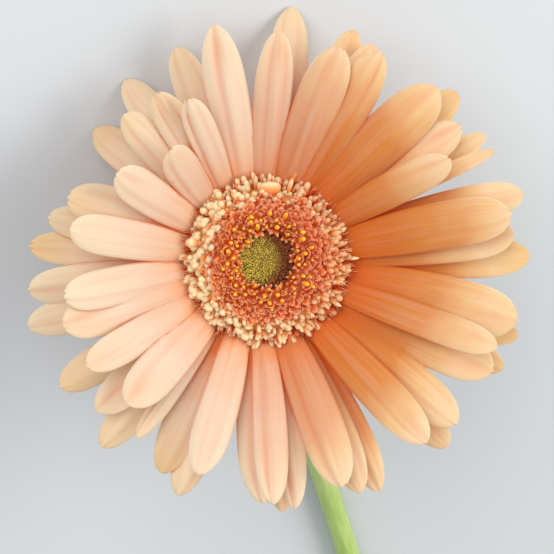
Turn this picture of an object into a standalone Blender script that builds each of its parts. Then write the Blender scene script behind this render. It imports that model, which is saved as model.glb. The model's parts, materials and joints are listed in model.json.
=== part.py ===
"""Cut gerbera flower, lying on a surface with its face up.

The stem lies along -Y and ends in a bent neck. The head tips away from the stem and rests on the tips
of three rays on its far side.

Everything on the head is modelled in the head's own frame: the origin is the middle of the disc, +Z
points out of the face, +X is right and +Y is up as the eye meets the face. Two turns and a height
then lay the head down.
"""

import math
import random
from math import cos, pi, radians, sin, tan

import bmesh
import bpy
from mathutils import Matrix, Vector
from mathutils.geometry import delaunay_2d_cdt

MM = 0.001
CLEAR = 0.3 * MM  # gap between touching pieces

# How the flower lies
HEAD_HEIGHT = 30.5 * MM  # middle of the disc above the surface
HEAD_TIP = radians(35)  # the face's lean from straight up, away from the stem
HEAD_ROLL = radians(23.5)  # turn of the head about its own axis
RESTING_RAYS = (84.4, 129.1, 142.9)  # bearings of the rays whose tips touch the surface

# Where the eye stands that the rays' bearings and reaches are read from
EYE_TURN = radians(9)  # to the left of the face's axis
EYE_DISTANCE = 600 * MM

# Stem
STEM_LENGTH = 250 * MM
STEM_RADIUS_CUT = 3.0 * MM
STEM_RADIUS_TOP = 2.4 * MM
STEM_SWELL = 0.6 * MM  # added radius where it meets the receptacle
STEM_SWAY = 1.9 * MM  # sideways bow of the lying stretch
STEM_POINTS = 26
STEM_LYING = 9  # of them on the surface
STEM_RISING = 7  # of them on the slow rise before the bend
NECK_BOTTOM = -19.5 * MM  # where the stem enters the receptacle, on the head's axis

# Receptacle: outer profile as radius and height in the head's frame
CUP_PROFILE = ((3.3, -19.2), (5.2, -18.2), (9.0, -16.4), (13.0, -13.2), (16.2, -9.8), (17.3, -8.0))
CUP_STEP_RADIUS = 13.6 * MM
CUP_STEP_TOP = -4.0 * MM
CUP_SIDES = 26

# Bracts: rows from the stem upwards, as (count, start, end, width) with places along the cup's profile
BRACT_ROWS = ((13, 0.02, 0.50, 3.4), (17, 0.22, 0.78, 3.6), (21, 0.50, 1.06, 3.4))
BRACT_THICKNESS = 0.7 * MM
BRACT_SEED = 3

# Rays: collar that they grow from, and the shape that they share
COLLAR_INNER = 13.9 * MM
COLLAR_OUTER = 17.5 * MM
COLLAR_BOTTOM = -7.7 * MM
COLLAR_TOP = -3.9 * MM
RAY_ROOT_RADIUS = 15.8 * MM
RAY_THICKNESS = 0.75 * MM
RAY_CROWN = 0.07  # rise of a ray's middle over its edges, as a share of its width
RAY_BOW = radians(13)  # bend from the chord at each end
RAY_STEEPEST = radians(44)  # slope at the root, so that a steep ray clears the trans florets
RAY_ROOT_WIDTH = 0.55  # share of the greatest width
RAY_WIDEST = 0.66  # place of the greatest width along the ray
RAY_STATIONS = (0.0, 0.16, 0.34, 0.54, 0.74, 0.88, 0.96, 0.995)
WHORL_ROOT = {"outer": -6.9 * MM, "middle": -5.9 * MM, "inner": -4.8 * MM}

# Each ray's tip as the eye meets it: bearing in degrees, reach from the disc's middle in mm, greatest
# width in mm, lift of its chord out of the disc's plane in degrees, and whorl
RAYS = (
    (84.4, 55.4, 8.6, 12, "outer"),
    (87.0, 50.1, 9.0, 27, "inner"),
    (71.1, 49.1, 8.6, 29, "inner"),
    (69.1, 53.8, 8.4, 14, "outer"),
    (61.3, 51.7, 9.6, 25, "inner"),
    (63.6, 52.5, 8.4, 17, "middle"),
    (45.3, 52.8, 10.2, 24, "inner"),
    (41.3, 55.4, 8.4, 14, "outer"),
    (34.8, 51.4, 8.6, 22, "middle"),
    (29.2, 54.9, 7.2, 13, "outer"),
    (28.2, 45.8, 7.4, 34, "inner"),
    (25.9, 55.2, 5.6, 18, "middle"),
    (15.1, 57.8, 9.0, 15, "outer"),
    (10.6, 54.3, 10.4, 27, "inner"),
    (6.0, 54.3, 9.4, 20, "middle"),
    (0.9, 57.3, 9.0, 13, "outer"),
    (-13.6, 56.2, 11.8, 20, "middle"),
    (-17.0, 57.2, 8.0, 13, "outer"),
    (-20.9, 53.8, 6.8, 28, "inner"),
    (-25.6, 54.9, 9.2, 20, "middle"),
    (-24.6, 56.7, 7.6, 12, "outer"),
    (-40.8, 54.7, 9.6, 21, "middle"),
    (-45.8, 56.7, 8.6, 14, "outer"),
    (-48.8, 53.0, 9.4, 28, "inner"),
    (-63.4, 56.0, 8.6, 14, "outer"),
    (-68.0, 54.7, 8.8, 21, "middle"),
    (-71.6, 52.3, 9.8, 28, "inner"),
    (-83.1, 54.7, 8.8, 22, "middle"),
    (-86.4, 54.9, 7.6, 14, "outer"),
    (-88.4, 53.4, 8.4, 28, "inner"),
    (-90.7, 53.2, 8.4, 20, "middle"),
    (-107.8, 49.3, 9.2, 28, "inner"),
    (-110.7, 54.9, 8.4, 14, "outer"),
    (-116.5, 51.9, 8.0, 16, "outer"),
    (-125.6, 48.2, 6.6, 22, "middle"),
    (-131.6, 54.5, 8.2, 14, "outer"),
    (-134.0, 44.0, 9.8, 32, "inner"),
    (-138.2, 49.7, 8.4, 21, "middle"),
    (-150.3, 45.8, 8.8, 31, "inner"),
    (-148.3, 53.0, 8.2, 14, "outer"),
    (-163.8, 46.9, 8.2, 28, "inner"),
    (-166.0, 54.1, 7.8, 14, "outer"),
    (-171.1, 45.1, 8.6, 31, "inner"),
    (-173.3, 52.5, 8.0, 15, "outer"),
    (176.4, 51.9, 8.0, 14, "outer"),
    (171.4, 43.6, 8.8, 32, "inner"),
    (169.1, 48.6, 8.0, 17, "outer"),
    (163.0, 45.6, 8.2, 25, "middle"),
    (150.3, 37.9, 8.6, 41, "inner"),
    (142.9, 47.1, 8.2, 12, "outer"),
    (134.6, 44.5, 8.0, 28, "middle"),
    (131.7, 32.0, 8.0, 48, "inner"),
    (129.1, 49.5, 8.2, 12, "outer"),
    (124.2, 43.8, 7.8, 32, "middle"),
    (117.3, 39.0, 7.8, 40, "inner"),
    (114.2, 49.9, 8.4, 15, "outer"),
    (103.5, 52.5, 9.2, 25, "inner"),
)

# Trans florets: base ring, and rows from the inside out as (count, radius, lean outwards, length)
TRANS_INNER = 13.5 * MM
TRANS_OUTER = 16.2 * MM
TRANS_BOTTOM = -3.0 * MM
TRANS_TOP = -0.7 * MM
TRANS_ROWS = ((24, 13.95, 1, 4.4), (26, 14.4, 16, 4.9), (30, 15.0, 34, 5.2), (34, 15.6, 53, 5.2))
TRANS_WIDTH = 2.5 * MM
TRANS_THICKNESS = 1.1 * MM
TRANS_SEED = 11

# Disc florets: base ring, and the florets that stand on it by the golden-angle rule
DISC_INNER = 6.6 * MM
DISC_OUTER = 13.2 * MM
DISC_BOTTOM = CUP_STEP_TOP + CLEAR
DISC_TOP = -0.6 * MM
DISC_FLORETS = 76
DISC_FLORET_RADIUS = 1.15 * MM
DISC_FLORET_HEIGHT = 3.2 * MM
ANTHER_HEIGHT = 1.2 * MM
DISC_SEED = 5

# Buds of the disc's middle: a low dome with one raised facet cone for each bud
BUD_RADIUS = 6.3 * MM
BUD_COUNT = 84
BUD_RELIEF = 0.6 * MM
BUD_DOME = 1.4 * MM

GOLDEN_ANGLE = pi * (3 - math.sqrt(5))

COLOURS = {
    "stem": (0.36, 0.53, 0.13),
    "involucre": (0.22, 0.36, 0.09),
    "ray_petals": (0.90, 0.56, 0.33),
    "trans_florets": (0.88, 0.60, 0.38),
    "disc_florets": (0.62, 0.16, 0.09),
    "disc_buds": (0.36, 0.33, 0.06),
}
ROUGHNESS = {
    "stem": 0.45,
    "involucre": 0.55,
    "ray_petals": 0.5,
    "trans_florets": 0.55,
    "disc_florets": 0.55,
    "disc_buds": 0.6,
}


def clear_scene():
    for thing in list(bpy.data.objects):
        bpy.data.objects.remove(thing, do_unlink=True)


def material(name):
    made = bpy.data.materials.new(name)
    made.use_nodes = True
    shader = made.node_tree.nodes["Principled BSDF"]
    shader.inputs["Base Color"].default_value = (*COLOURS[name], 1.0)
    shader.inputs["Roughness"].default_value = ROUGHNESS[name]
    shader.inputs["Metallic"].default_value = 0.0
    return made


def make_object(name, verts, faces):
    """A new object from a mesh whose faces are turned outwards."""
    mesh = bpy.data.meshes.new(name)
    mesh.from_pydata(verts, [], faces)
    bm = bmesh.new()
    bm.from_mesh(mesh)
    bmesh.ops.recalc_face_normals(bm, faces=bm.faces)
    if bm.calc_volume(signed=True) < 0:
        bmesh.ops.reverse_faces(bm, faces=bm.faces)
    bm.to_mesh(mesh)
    bm.free()
    made = bpy.data.objects.new(name, mesh)
    bpy.context.scene.collection.objects.link(made)
    return made


def keep_largest_body(mesh):
    """Drops loose scraps and sealed hollows that a union leaves."""
    bm = bmesh.new()
    bm.from_mesh(mesh)
    unseen = set(bm.faces)
    bodies = []
    while unseen:
        body, queue = set(), [unseen.pop()]
        while queue:
            face = queue.pop()
            body.add(face)
            for edge in face.edges:
                for near in edge.link_faces:
                    if near in unseen:
                        unseen.remove(near)
                        queue.append(near)
        bodies.append(body)
    largest = max(bodies, key=len)
    scraps = [face for body in bodies if body is not largest for face in body]
    bmesh.ops.delete(bm, geom=scraps, context="FACES")
    bmesh.ops.triangulate(bm, faces=bm.faces)
    bm.to_mesh(mesh)
    bm.free()


def fuse(core, repeats, solver="MANIFOLD"):
    """Joins the repeats to the core that they grow from, as one body."""
    group = bpy.data.collections.new(core.name + "_repeats")
    bpy.context.scene.collection.children.link(group)
    for piece in repeats:
        bpy.context.scene.collection.objects.unlink(piece)
        group.objects.link(piece)
    union = core.modifiers.new("Union", "BOOLEAN")
    union.operation = "UNION"
    union.operand_type = "COLLECTION"
    union.collection = group
    union.solver = solver
    bpy.context.view_layer.update()
    evaluated = core.evaluated_get(bpy.context.evaluated_depsgraph_get())
    joined = bpy.data.meshes.new_from_object(evaluated)
    core.modifiers.clear()
    core.data = joined
    joined.name = core.name
    for piece in list(group.objects):
        bpy.data.objects.remove(piece, do_unlink=True)
    bpy.data.collections.remove(group)
    keep_largest_body(joined)
    return core


def turned(name, profile, sides):
    """A solid turned about Z from a closed profile of (radius, height); ends at radius 0 close in a point."""
    verts, rings = [], []
    for radius, height in profile:
        if radius < 1e-9:
            rings.append([len(verts)] * sides)
            verts.append((0, 0, height))
            continue
        rings.append(list(range(len(verts), len(verts) + sides)))
        for k in range(sides):
            turn = 2 * pi * k / sides
            verts.append((radius * cos(turn), radius * sin(turn), height))
    faces = []
    pairs = list(zip(rings, rings[1:]))
    if profile[0][0] > 1e-9:
        pairs.append((rings[-1], rings[0]))
    for low, high in pairs:
        for k in range(sides):
            corners = [low[k], low[(k + 1) % sides], high[(k + 1) % sides], high[k]]
            faces.append(list(dict.fromkeys(corners)))
    return make_object(name, verts, faces)


def ring(name, inner, outer, bottom, top, sides):
    profile = ((inner, bottom), (outer, bottom), (outer, top), (inner, top))
    return turned(name, profile, sides)


def six_corner_blade(name, stations, thickness, crown):
    """A closed blade with sharp edges, split into triangles alike on its two faces.

    Each station is (middle, across, up, half width).
    """
    verts, faces = [], []
    for middle, across, up, half in stations:
        rise = crown * 2 * half
        thin = min(thickness, half) / 2
        for side, height in (
            (-1, 0),
            (-0.45, rise + thin),
            (0.45, rise + thin),
            (1, 0),
            (0.45, rise - thin),
            (-0.45, rise - thin),
        ):
            verts.append(middle + across * (side * half) + up * height)
    for k in range(len(stations) - 1):
        here, there = 6 * k, 6 * k + 6
        for left, right in ((0, 1), (1, 2), (2, 3)):
            faces.append((here + left, here + right, there + right))
            faces.append((here + left, there + right, there + left))
        for left, right in ((0, 5), (5, 4), (4, 3)):
            faces.append((here + right, here + left, there + right))
            faces.append((there + right, here + left, there + left))
    last = 6 * (len(stations) - 1)
    for start in (0, last):
        for a, b, c in ((0, 1, 5), (1, 2, 5), (2, 4, 5), (2, 3, 4)):
            faces.append((start + a, start + b, start + c))
    return make_object(name, verts, faces)


def spike(name, stations, tip):
    """A closed tongue, flat on one face and ridged on the other, that ends in a point.

    Each station is (middle, across, ridge, half width, half thickness).
    """
    verts, faces = [], []
    for middle, across, ridge, half, thin in stations:
        verts.append(middle - across * half - ridge * thin)
        verts.append(middle + across * half - ridge * thin)
        verts.append(middle + ridge * thin)
    for k in range(len(stations) - 1):
        here, there = 3 * k, 3 * k + 3
        for a in range(3):
            b = (a + 1) % 3
            faces.append((here + a, here + b, there + b, there + a))
    last = 3 * (len(stations) - 1)
    verts.append(tip)
    for a in range(3):
        faces.append((last + a, last + (a + 1) % 3, len(verts) - 1))
    faces.append((0, 1, 2))
    return make_object(name, verts, faces)


def head_matrix():
    """The head's frame in the world, before the whole flower is centred."""
    lean = Matrix.Rotation(-HEAD_TIP, 4, "X")
    roll = Matrix.Rotation(-HEAD_ROLL, 4, "Z")
    return Matrix.Translation((0, 0, HEAD_HEIGHT)) @ lean @ roll


def ray_tip(bearing, reach, lift, root_height):
    """The tip's place in the head's frame, from where the eye meets it."""
    toward_eye = Vector((-sin(EYE_TURN), 0, cos(EYE_TURN)))
    seen_x, seen_y = reach * cos(bearing), reach * sin(bearing)
    tip = Vector((seen_x, seen_y, 0))
    for _ in range(8):
        tip.z = root_height + tan(lift) * (math.hypot(tip.x, tip.y) - RAY_ROOT_RADIUS)
        shrink = 1 - tip.dot(toward_eye) / EYE_DISTANCE
        tip.x = (seen_x * shrink - tip.z * sin(EYE_TURN)) / cos(EYE_TURN)
        tip.y = seen_y * shrink
    return tip


def ray_half_width(share, width):
    """Half width at a share of the ray's length: narrow root, full middle, rounded tip."""
    if share < RAY_WIDEST:
        swell = sin(pi / 2 * share / RAY_WIDEST)
        return width / 2 * (RAY_ROOT_WIDTH + (1 - RAY_ROOT_WIDTH) * swell)
    past = (share - RAY_WIDEST) / (1 - RAY_WIDEST)
    return width / 2 * (1 - past**2.3) ** 0.55


def ray_stations(row, lift=None):
    bearing, reach, width, row_lift, whorl = row
    lift = radians(row_lift) if lift is None else lift
    root_height = WHORL_ROOT[whorl]
    tip = ray_tip(radians(bearing), reach * MM, lift, root_height)
    outward = Vector((tip.x, tip.y, 0)).normalized()
    across = Vector((-outward.y, outward.x, 0))
    root = outward * RAY_ROOT_RADIUS + Vector((0, 0, root_height))
    chord = (tip - root).length
    along = (tip - root).normalized()
    up = along.cross(across) * -1
    if up.z < 0:
        up.negate()
    bow = min(RAY_BOW, RAY_STEEPEST - lift)
    stations = []
    for share in RAY_STATIONS:
        swing = (2 * share - 1) * bow
        forward = chord * (sin(bow) + sin(swing)) / (2 * sin(bow))
        bulge = chord * (cos(swing) - cos(bow)) / (2 * sin(bow))
        middle = root + along * forward + up * bulge
        station_up = up * cos(swing) + along * sin(swing)
        stations.append((middle, across, station_up, ray_half_width(share, width * MM)))
    return stations


def lowest_point(stations, placed):
    lowest = 1.0
    for middle, across, up, half in stations:
        for side, height in ((-1, 0), (1, 0), (-0.45, -1), (0.45, -1)):
            thin = min(RAY_THICKNESS, half) / 2
            rise = RAY_CROWN * 2 * half - thin if height else 0
            corner = middle + across * (side * half) + up * rise
            lowest = min(lowest, (placed @ corner).z)
    return lowest


def resting_lift(row, placed):
    """The lift at which a ray's lowest point just touches the surface."""
    low, high = radians(-15), radians(40)
    for _ in range(40):
        lift = (low + high) / 2
        if lowest_point(ray_stations(row, lift), placed) < 0:
            low = lift
        else:
            high = lift
    return high


def make_rays():
    placed = head_matrix()
    core = ring("ray_petals", COLLAR_INNER, COLLAR_OUTER, COLLAR_BOTTOM, COLLAR_TOP, CUP_SIDES)
    blades = []
    for row in RAYS:
        stations = ray_stations(row)
        if row[0] in RESTING_RAYS or lowest_point(stations, placed) < 0:
            stations = ray_stations(row, resting_lift(row, placed))
        blades.append(six_corner_blade("ray", stations, RAY_THICKNESS, RAY_CROWN))
    return fuse(core, blades)


def cup_point(place):
    """Point and outward direction on the cup's outer profile, by the share of its length."""
    points = [Vector((r * MM, z * MM)) for r, z in CUP_PROFILE]
    lengths = [(b - a).length for a, b in zip(points, points[1:])]
    left = place * sum(lengths)
    for k, length in enumerate(lengths):
        if left <= length or k == len(lengths) - 1:
            along = (points[k + 1] - points[k]) / length
            return points[k] + along * left, Vector((along.y, -along.x))
        left -= length


def make_involucre():
    outer = [(r * MM, z * MM) for r, z in CUP_PROFILE]
    bottom = CUP_PROFILE[0][1] * MM
    step = CUP_PROFILE[-1][1] * MM
    inner = [(CUP_STEP_RADIUS, step), (CUP_STEP_RADIUS, CUP_STEP_TOP), (0, CUP_STEP_TOP)]
    core = turned("involucre", [(0, bottom)] + outer + inner, CUP_SIDES)
    draw = random.Random(BRACT_SEED)
    bracts = []
    for number, (count, start, end, width) in enumerate(BRACT_ROWS):
        for k in range(count):
            turn = 2 * pi * (k + 0.5 * number + draw.uniform(-0.12, 0.12)) / count
            outward = Vector((cos(turn), sin(turn), 0))
            across = Vector((-sin(turn), cos(turn), 0))
            stations = []
            for share, off, half in ((0, -0.5, 0.42), (0.5, 0.2, 0.5)):
                point, out = cup_point(start + (end - start) * share)
                up = (outward * out.x + Vector((0, 0, out.y))).normalized()
                middle = outward * point.x + Vector((0, 0, point.y)) + up * (off * MM)
                stations.append((middle, across, up, half * width * MM, BRACT_THICKNESS / 2))
            point, out = cup_point(end)
            tip = outward * (point.x + out.x * 0.7 * MM) + Vector((0, 0, point.y + out.y * 0.7 * MM))
            bracts.append(spike("bract", stations, tip))
    return fuse(core, bracts)


def make_trans_florets():
    draw = random.Random(TRANS_SEED)
    core = ring("trans_florets", TRANS_INNER, TRANS_OUTER, TRANS_BOTTOM, TRANS_TOP, CUP_SIDES)
    straps = []
    for count, radius, lean, length in TRANS_ROWS:
        for k in range(count):
            turn = 2 * pi * (k + draw.uniform(-0.25, 0.25)) / count
            outward = Vector((cos(turn), sin(turn), 0))
            across = Vector((-sin(turn), cos(turn), 0))
            tilt = radians(lean + draw.uniform(-5, 5))
            long = (length + draw.uniform(-0.8, 0.8)) * MM
            root = outward * (radius * MM) + Vector((0, 0, TRANS_TOP - 0.9 * MM))
            along = outward * sin(tilt) + Vector((0, 0, cos(tilt)))
            keel = along.cross(across)
            if keel.z > 0:
                keel.negate()
            stations = []
            for share, half, thin in ((0, 0.55, 0.7), (0.45, 0.85, 0.9), (0.82, 1.0, 1.0)):
                middle = root + along * (long * share)
                half_width = half * TRANS_WIDTH / 2
                stations.append((middle, across, keel, half_width, thin * TRANS_THICKNESS / 2))
            straps.append(spike("strap", stations, root + along * long))
    return fuse(core, straps)


def disc_floret(place, height, lean, spin):
    """A funnel with six corners and an anther cone standing in its mouth."""
    axis = (Vector((0, 0, 1)) + lean).normalized()
    side = axis.orthogonal().normalized()
    other = axis.cross(side)
    verts, faces = [], []
    for radius, rise in ((0.62, -0.9 * MM), (1.0, height)):
        for k in range(6):
            turn = spin + pi / 3 * k
            out = (side * cos(turn) + other * sin(turn)) * (radius * DISC_FLORET_RADIUS)
            verts.append(place + axis * rise + out)
    verts.append(place + axis * (height + ANTHER_HEIGHT))
    for k in range(6):
        near = (k + 1) % 6
        faces.append((k, near, 6 + near, 6 + k))
        faces.append((6 + k, 6 + near, 12))
    faces.append(tuple(range(6)))
    return make_object("floret", verts, faces)


def make_disc_florets():
    draw = random.Random(DISC_SEED)
    core = ring("disc_florets", DISC_INNER, DISC_OUTER, DISC_BOTTOM, DISC_TOP, CUP_SIDES)
    florets = []
    low = (DISC_INNER + 0.5 * MM) ** 2
    high = (DISC_OUTER - 1.4 * MM) ** 2
    for k in range(DISC_FLORETS):
        radius = math.sqrt(low + (high - low) * (k + 0.5) / DISC_FLORETS)
        turn = k * GOLDEN_ANGLE
        outward = Vector((cos(turn), sin(turn), 0))
        height = DISC_FLORET_HEIGHT + draw.uniform(-0.6, 0.5) * MM
        place = outward * radius + Vector((0, 0, DISC_TOP))
        lean = outward * ((radius - 10 * MM) * 40)
        florets.append(disc_floret(place, height, lean, draw.uniform(0, pi)))
    return fuse(core, florets)


def make_disc_buds():
    """The button: every bud is a raised point, ringed by a valley half way to its neighbours."""
    centres = []
    for k in range(BUD_COUNT):
        radius = (BUD_RADIUS - 0.4 * MM) * math.sqrt((k + 0.5) / BUD_COUNT)
        centres.append(Vector((radius * cos(k * GOLDEN_ANGLE), radius * sin(k * GOLDEN_ANGLE))))
    rim = CUP_SIDES
    rim_points = [
        Vector((BUD_RADIUS * cos(2 * pi * k / rim), BUD_RADIUS * sin(2 * pi * k / rim)))
        for k in range(rim)
    ]
    flat, _, triangles, *_ = delaunay_2d_cdt(centres + rim_points, [], [], 0, 1e-7)

    def dome(point, relief):
        share = min(point.length / BUD_RADIUS, 1.0)
        return Vector((point.x, point.y, BUD_DOME * (1 - share**2) + relief))

    verts = [dome(point, BUD_RELIEF if k < BUD_COUNT else 0) for k, point in enumerate(flat)]
    sides_of = {}
    for triangle in triangles:
        middle = (flat[triangle[0]] + flat[triangle[1]] + flat[triangle[2]]) / 3
        verts.append(dome(middle, 0))
        for a in range(3):
            edge = frozenset((triangle[a], triangle[(a + 1) % 3]))
            sides_of.setdefault(edge, []).append(len(verts) - 1)
    faces = []
    for edge, middles in sides_of.items():
        a, b = tuple(edge)
        if len(middles) == 2:
            faces.append((a, middles[0], middles[1]))
            faces.append((b, middles[1], middles[0]))
        else:
            faces.append((a, b, middles[0]))
    skirt = len(verts)
    bottom = CUP_STEP_TOP + CLEAR
    verts.extend(Vector((point.x, point.y, bottom)) for point in rim_points)
    for k in range(rim):
        near = (k + 1) % rim
        faces.append((BUD_COUNT + k, BUD_COUNT + near, skirt + near, skirt + k))
    faces.append(tuple(range(skirt, skirt + rim)))
    return make_object("disc_buds", verts, faces)


def bezier(a, b, c, d, share):
    rest = 1 - share
    return a * rest**3 + b * (3 * rest**2 * share) + c * (3 * rest * share**2) + d * share**3


def stem_radius(share):
    """Radius at a share of the stem's points: slimmer towards the head, swollen where it enters it."""
    slim = STEM_RADIUS_CUT + (STEM_RADIUS_TOP - STEM_RADIUS_CUT) * min(1, share * 1.3)
    return slim + max(0, (share - 0.93) / 0.07) * STEM_SWELL


def make_stem():
    """A tube that lies on the surface, rises a little, then bends up into the head's axis."""
    placed = head_matrix()
    axis = (placed.to_3x3() @ Vector((0, 0, 1))).normalized()
    top = placed @ Vector((0, 0, NECK_BOTTOM))
    lift_off = STEM_LYING / STEM_POINTS
    cut = Vector((STEM_SWAY, -STEM_LENGTH, stem_radius(0)))
    lying = Vector((STEM_SWAY * 1.4, -STEM_LENGTH * 0.45, stem_radius(lift_off)))
    bend = Vector((STEM_SWAY * 0.9, top.y - 30 * MM, STEM_RADIUS_CUT + 1.0 * MM))
    points = []
    for k in range(STEM_LYING):
        point = cut.lerp(lying, k / STEM_LYING)
        point.z = stem_radius(k / STEM_POINTS)
        points.append(point)
    middle = (lying + bend) / 2
    middle.z = lying.z
    for k in range(STEM_RISING):
        points.append(bezier(lying, middle, middle, bend, k / STEM_RISING))
    bend_points = STEM_POINTS - STEM_LYING - STEM_RISING
    for k in range(bend_points + 1):
        before_bend = bend + Vector((0, 13 * MM, 0.5 * MM))
        points.append(bezier(bend, before_bend, top - axis * 11 * MM, top, k / bend_points))
    curve = bpy.data.curves.new("stem", "CURVE")
    curve.dimensions = "3D"
    curve.bevel_depth = 1.0
    curve.bevel_resolution = 4
    curve.use_fill_caps = True
    line = curve.splines.new("POLY")
    line.points.add(len(points) - 1)
    for k, point in enumerate(points):
        line.points[k].co = (*point, 1)
        line.points[k].radius = stem_radius(k / STEM_POINTS)
    made = bpy.data.objects.new("stem", curve)
    bpy.context.scene.collection.objects.link(made)
    return made


def centre_on_surface(carriers):
    """Moves the whole flower so that the middle of its outline on the surface is the origin."""
    bpy.context.view_layer.update()
    graph = bpy.context.evaluated_depsgraph_get()
    corners = []
    for thing in bpy.data.objects:
        if thing.type != "EMPTY":
            mesh = thing.evaluated_get(graph).to_mesh()
            corners.extend(thing.matrix_world @ vertex.co for vertex in mesh.vertices)
    low = [min(corner[axis] for corner in corners) for axis in range(3)]
    high = [max(corner[axis] for corner in corners) for axis in range(3)]
    for carrier in carriers:
        carrier.location.x -= (low[0] + high[0]) / 2
        carrier.location.y -= (low[1] + high[1]) / 2
        carrier.location.z -= low[2]


def main():
    clear_scene()
    head = bpy.data.objects.new("head", None)
    bpy.context.scene.collection.objects.link(head)
    head.matrix_world = head_matrix()
    stem = make_stem()
    stem.data.materials.append(material("stem"))
    for make in (make_involucre, make_rays, make_trans_florets, make_disc_florets, make_disc_buds):
        piece = make()
        piece.data.materials.clear()
        piece.data.materials.append(material(piece.name))
        piece.parent = head
    centre_on_surface((stem, head))


main()
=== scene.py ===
"""Cut gerbera in peach, lying face up on a pale floor: its pieces, materials, light and camera.

The head is made in a frame of its own: the origin is the middle of the disc, +Z points out of the face,
+X is right and +Y is up as the eye meets the face. One matrix lays the head down, and its pieces take it
in their meshes.
"""

import json
import math
import random
from math import cos, exp, pi, radians, sin, sqrt, tan

import bmesh
import bpy
from mathutils import Matrix, Vector
from mathutils.bvhtree import BVHTree

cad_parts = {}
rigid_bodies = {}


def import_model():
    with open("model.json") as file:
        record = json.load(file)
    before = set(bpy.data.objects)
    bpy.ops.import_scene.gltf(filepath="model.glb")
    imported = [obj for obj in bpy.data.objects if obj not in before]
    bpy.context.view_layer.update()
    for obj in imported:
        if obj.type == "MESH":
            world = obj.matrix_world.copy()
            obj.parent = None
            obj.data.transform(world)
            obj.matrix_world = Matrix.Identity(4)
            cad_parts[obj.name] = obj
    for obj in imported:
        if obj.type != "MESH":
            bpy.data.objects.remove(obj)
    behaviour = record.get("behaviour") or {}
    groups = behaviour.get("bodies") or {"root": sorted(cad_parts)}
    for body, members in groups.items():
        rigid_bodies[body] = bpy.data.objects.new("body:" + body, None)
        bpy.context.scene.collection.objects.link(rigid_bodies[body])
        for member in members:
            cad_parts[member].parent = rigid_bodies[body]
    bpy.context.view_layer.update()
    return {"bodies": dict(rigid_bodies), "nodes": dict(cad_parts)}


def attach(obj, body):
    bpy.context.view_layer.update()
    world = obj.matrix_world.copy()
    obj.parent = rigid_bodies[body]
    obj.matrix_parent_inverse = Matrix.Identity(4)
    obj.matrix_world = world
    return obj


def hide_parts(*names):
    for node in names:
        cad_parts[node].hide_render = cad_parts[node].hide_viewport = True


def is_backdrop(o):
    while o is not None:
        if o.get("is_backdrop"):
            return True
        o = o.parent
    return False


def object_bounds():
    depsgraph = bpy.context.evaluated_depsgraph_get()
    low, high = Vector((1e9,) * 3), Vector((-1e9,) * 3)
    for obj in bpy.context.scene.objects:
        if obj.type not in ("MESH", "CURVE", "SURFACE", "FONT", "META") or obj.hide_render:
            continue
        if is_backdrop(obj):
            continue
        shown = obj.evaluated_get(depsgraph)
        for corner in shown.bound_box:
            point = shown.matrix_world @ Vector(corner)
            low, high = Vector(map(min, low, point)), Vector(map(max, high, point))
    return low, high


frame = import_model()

bl_info = {
    "name": "Gerbera Flower",
    "version": (1, 0, 0),
    "blender": (4, 5, 0),
    "location": "3D View > Sidebar > Gerbera",
    "description": "Makes a cut gerbera that lies face up, with its stage, light and camera",
    "category": "Add Mesh",
}

MM = 0.001
GOLDEN_ANGLE = pi * (3 - sqrt(5))

# How the flower lies
HEAD_PLACE = (-2.1 * MM, 100.54 * MM, 30.5 * MM)
HEAD_TIP = radians(35)  # the face's lean from straight up, away from the stem
HEAD_ROLL = radians(23.5)  # turn of the head about its own axis

# Where the eye stands, in the head's frame
EYE_TURN = radians(9)  # to the left of the face's axis
EYE_DISTANCE = 600 * MM
SEEN_ACROSS = 554 * 0.218 * MM  # what the picture spans at the disc
EYE_RIGHT = 2.2 * MM
EYE_DOWN = 3.7 * MM
TOWARD_EYE = Vector((-sin(EYE_TURN), 0, cos(EYE_TURN)))

# Stage: how far the floor reaches each way in metres, and the width of the camera's sensor in mm
FLOOR_REACH = 4.0
SENSOR = 36

# Stem
STEM_LENGTH = 250 * MM
STEM_RADIUS_CUT = 3.0 * MM
STEM_RADIUS_TOP = 2.4 * MM
STEM_SWELL = 0.6 * MM
STEM_SWAY = 1.9 * MM
NECK_BOTTOM = -19.5 * MM
DOWN_DENSITY = 4.2e5  # hairs for each square metre of its skin

# Straps: the share of its end's curve that each keeps, so that its very end has some width, and the place
# across and the half width of its two notches, as shares of its half width
END_CURVE = 0.965
NOTCH_PLACE = 0.4
NOTCH_SPREAD = 0.15

# Receptacle: outer profile as radius and height in mm, and its inside
CUP_PROFILE = ((3.3, -19.2), (5.2, -18.2), (9.0, -16.4), (13.0, -13.2), (16.2, -9.8), (17.3, -8.0))
CUP_INSIDE = ((13.6, -8.0), (13.6, -4.0), (0, -4.0))

# Bracts: rows from the stem upwards, as (count, start, end, width in mm) with places along the profile
BRACT_ROWS = ((13, 0.02, 0.52, 3.4), (17, 0.22, 0.80, 3.5), (21, 0.48, 1.08, 3.2), (24, 0.62, 1.14, 2.6))

# Rays
RAY_ROOT_RADIUS = 15.8 * MM
RAY_BOW = radians(13)  # how far its ends lean from its chord
RAY_STEEPEST = radians(44)  # of its root, from level
RAY_WIDEST = 0.64  # share of its length
RAY_ROWS = 34
RAY_COLUMNS = (0, 0.1, 0.2, 0.28, 0.36, 0.44, 0.54, 0.68, 0.82, 0.93, 1.0)  # mirrored to the other side

# Whorls of rays: height of their roots, how far their tips fade to tan, the share of each ray that lies
# under others and keeps its root's orange as painted shade from the rays above, and how fast its colour runs
# out from there
WHORLS = {
    "outer": (-6.9 * MM, 0.65, 0.22, 1.15),
    "middle": (-5.9 * MM, 0.4, 0.06, 1.15),
    "inner": (-4.8 * MM, 0.2, 0.0, 1.0),
}

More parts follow.
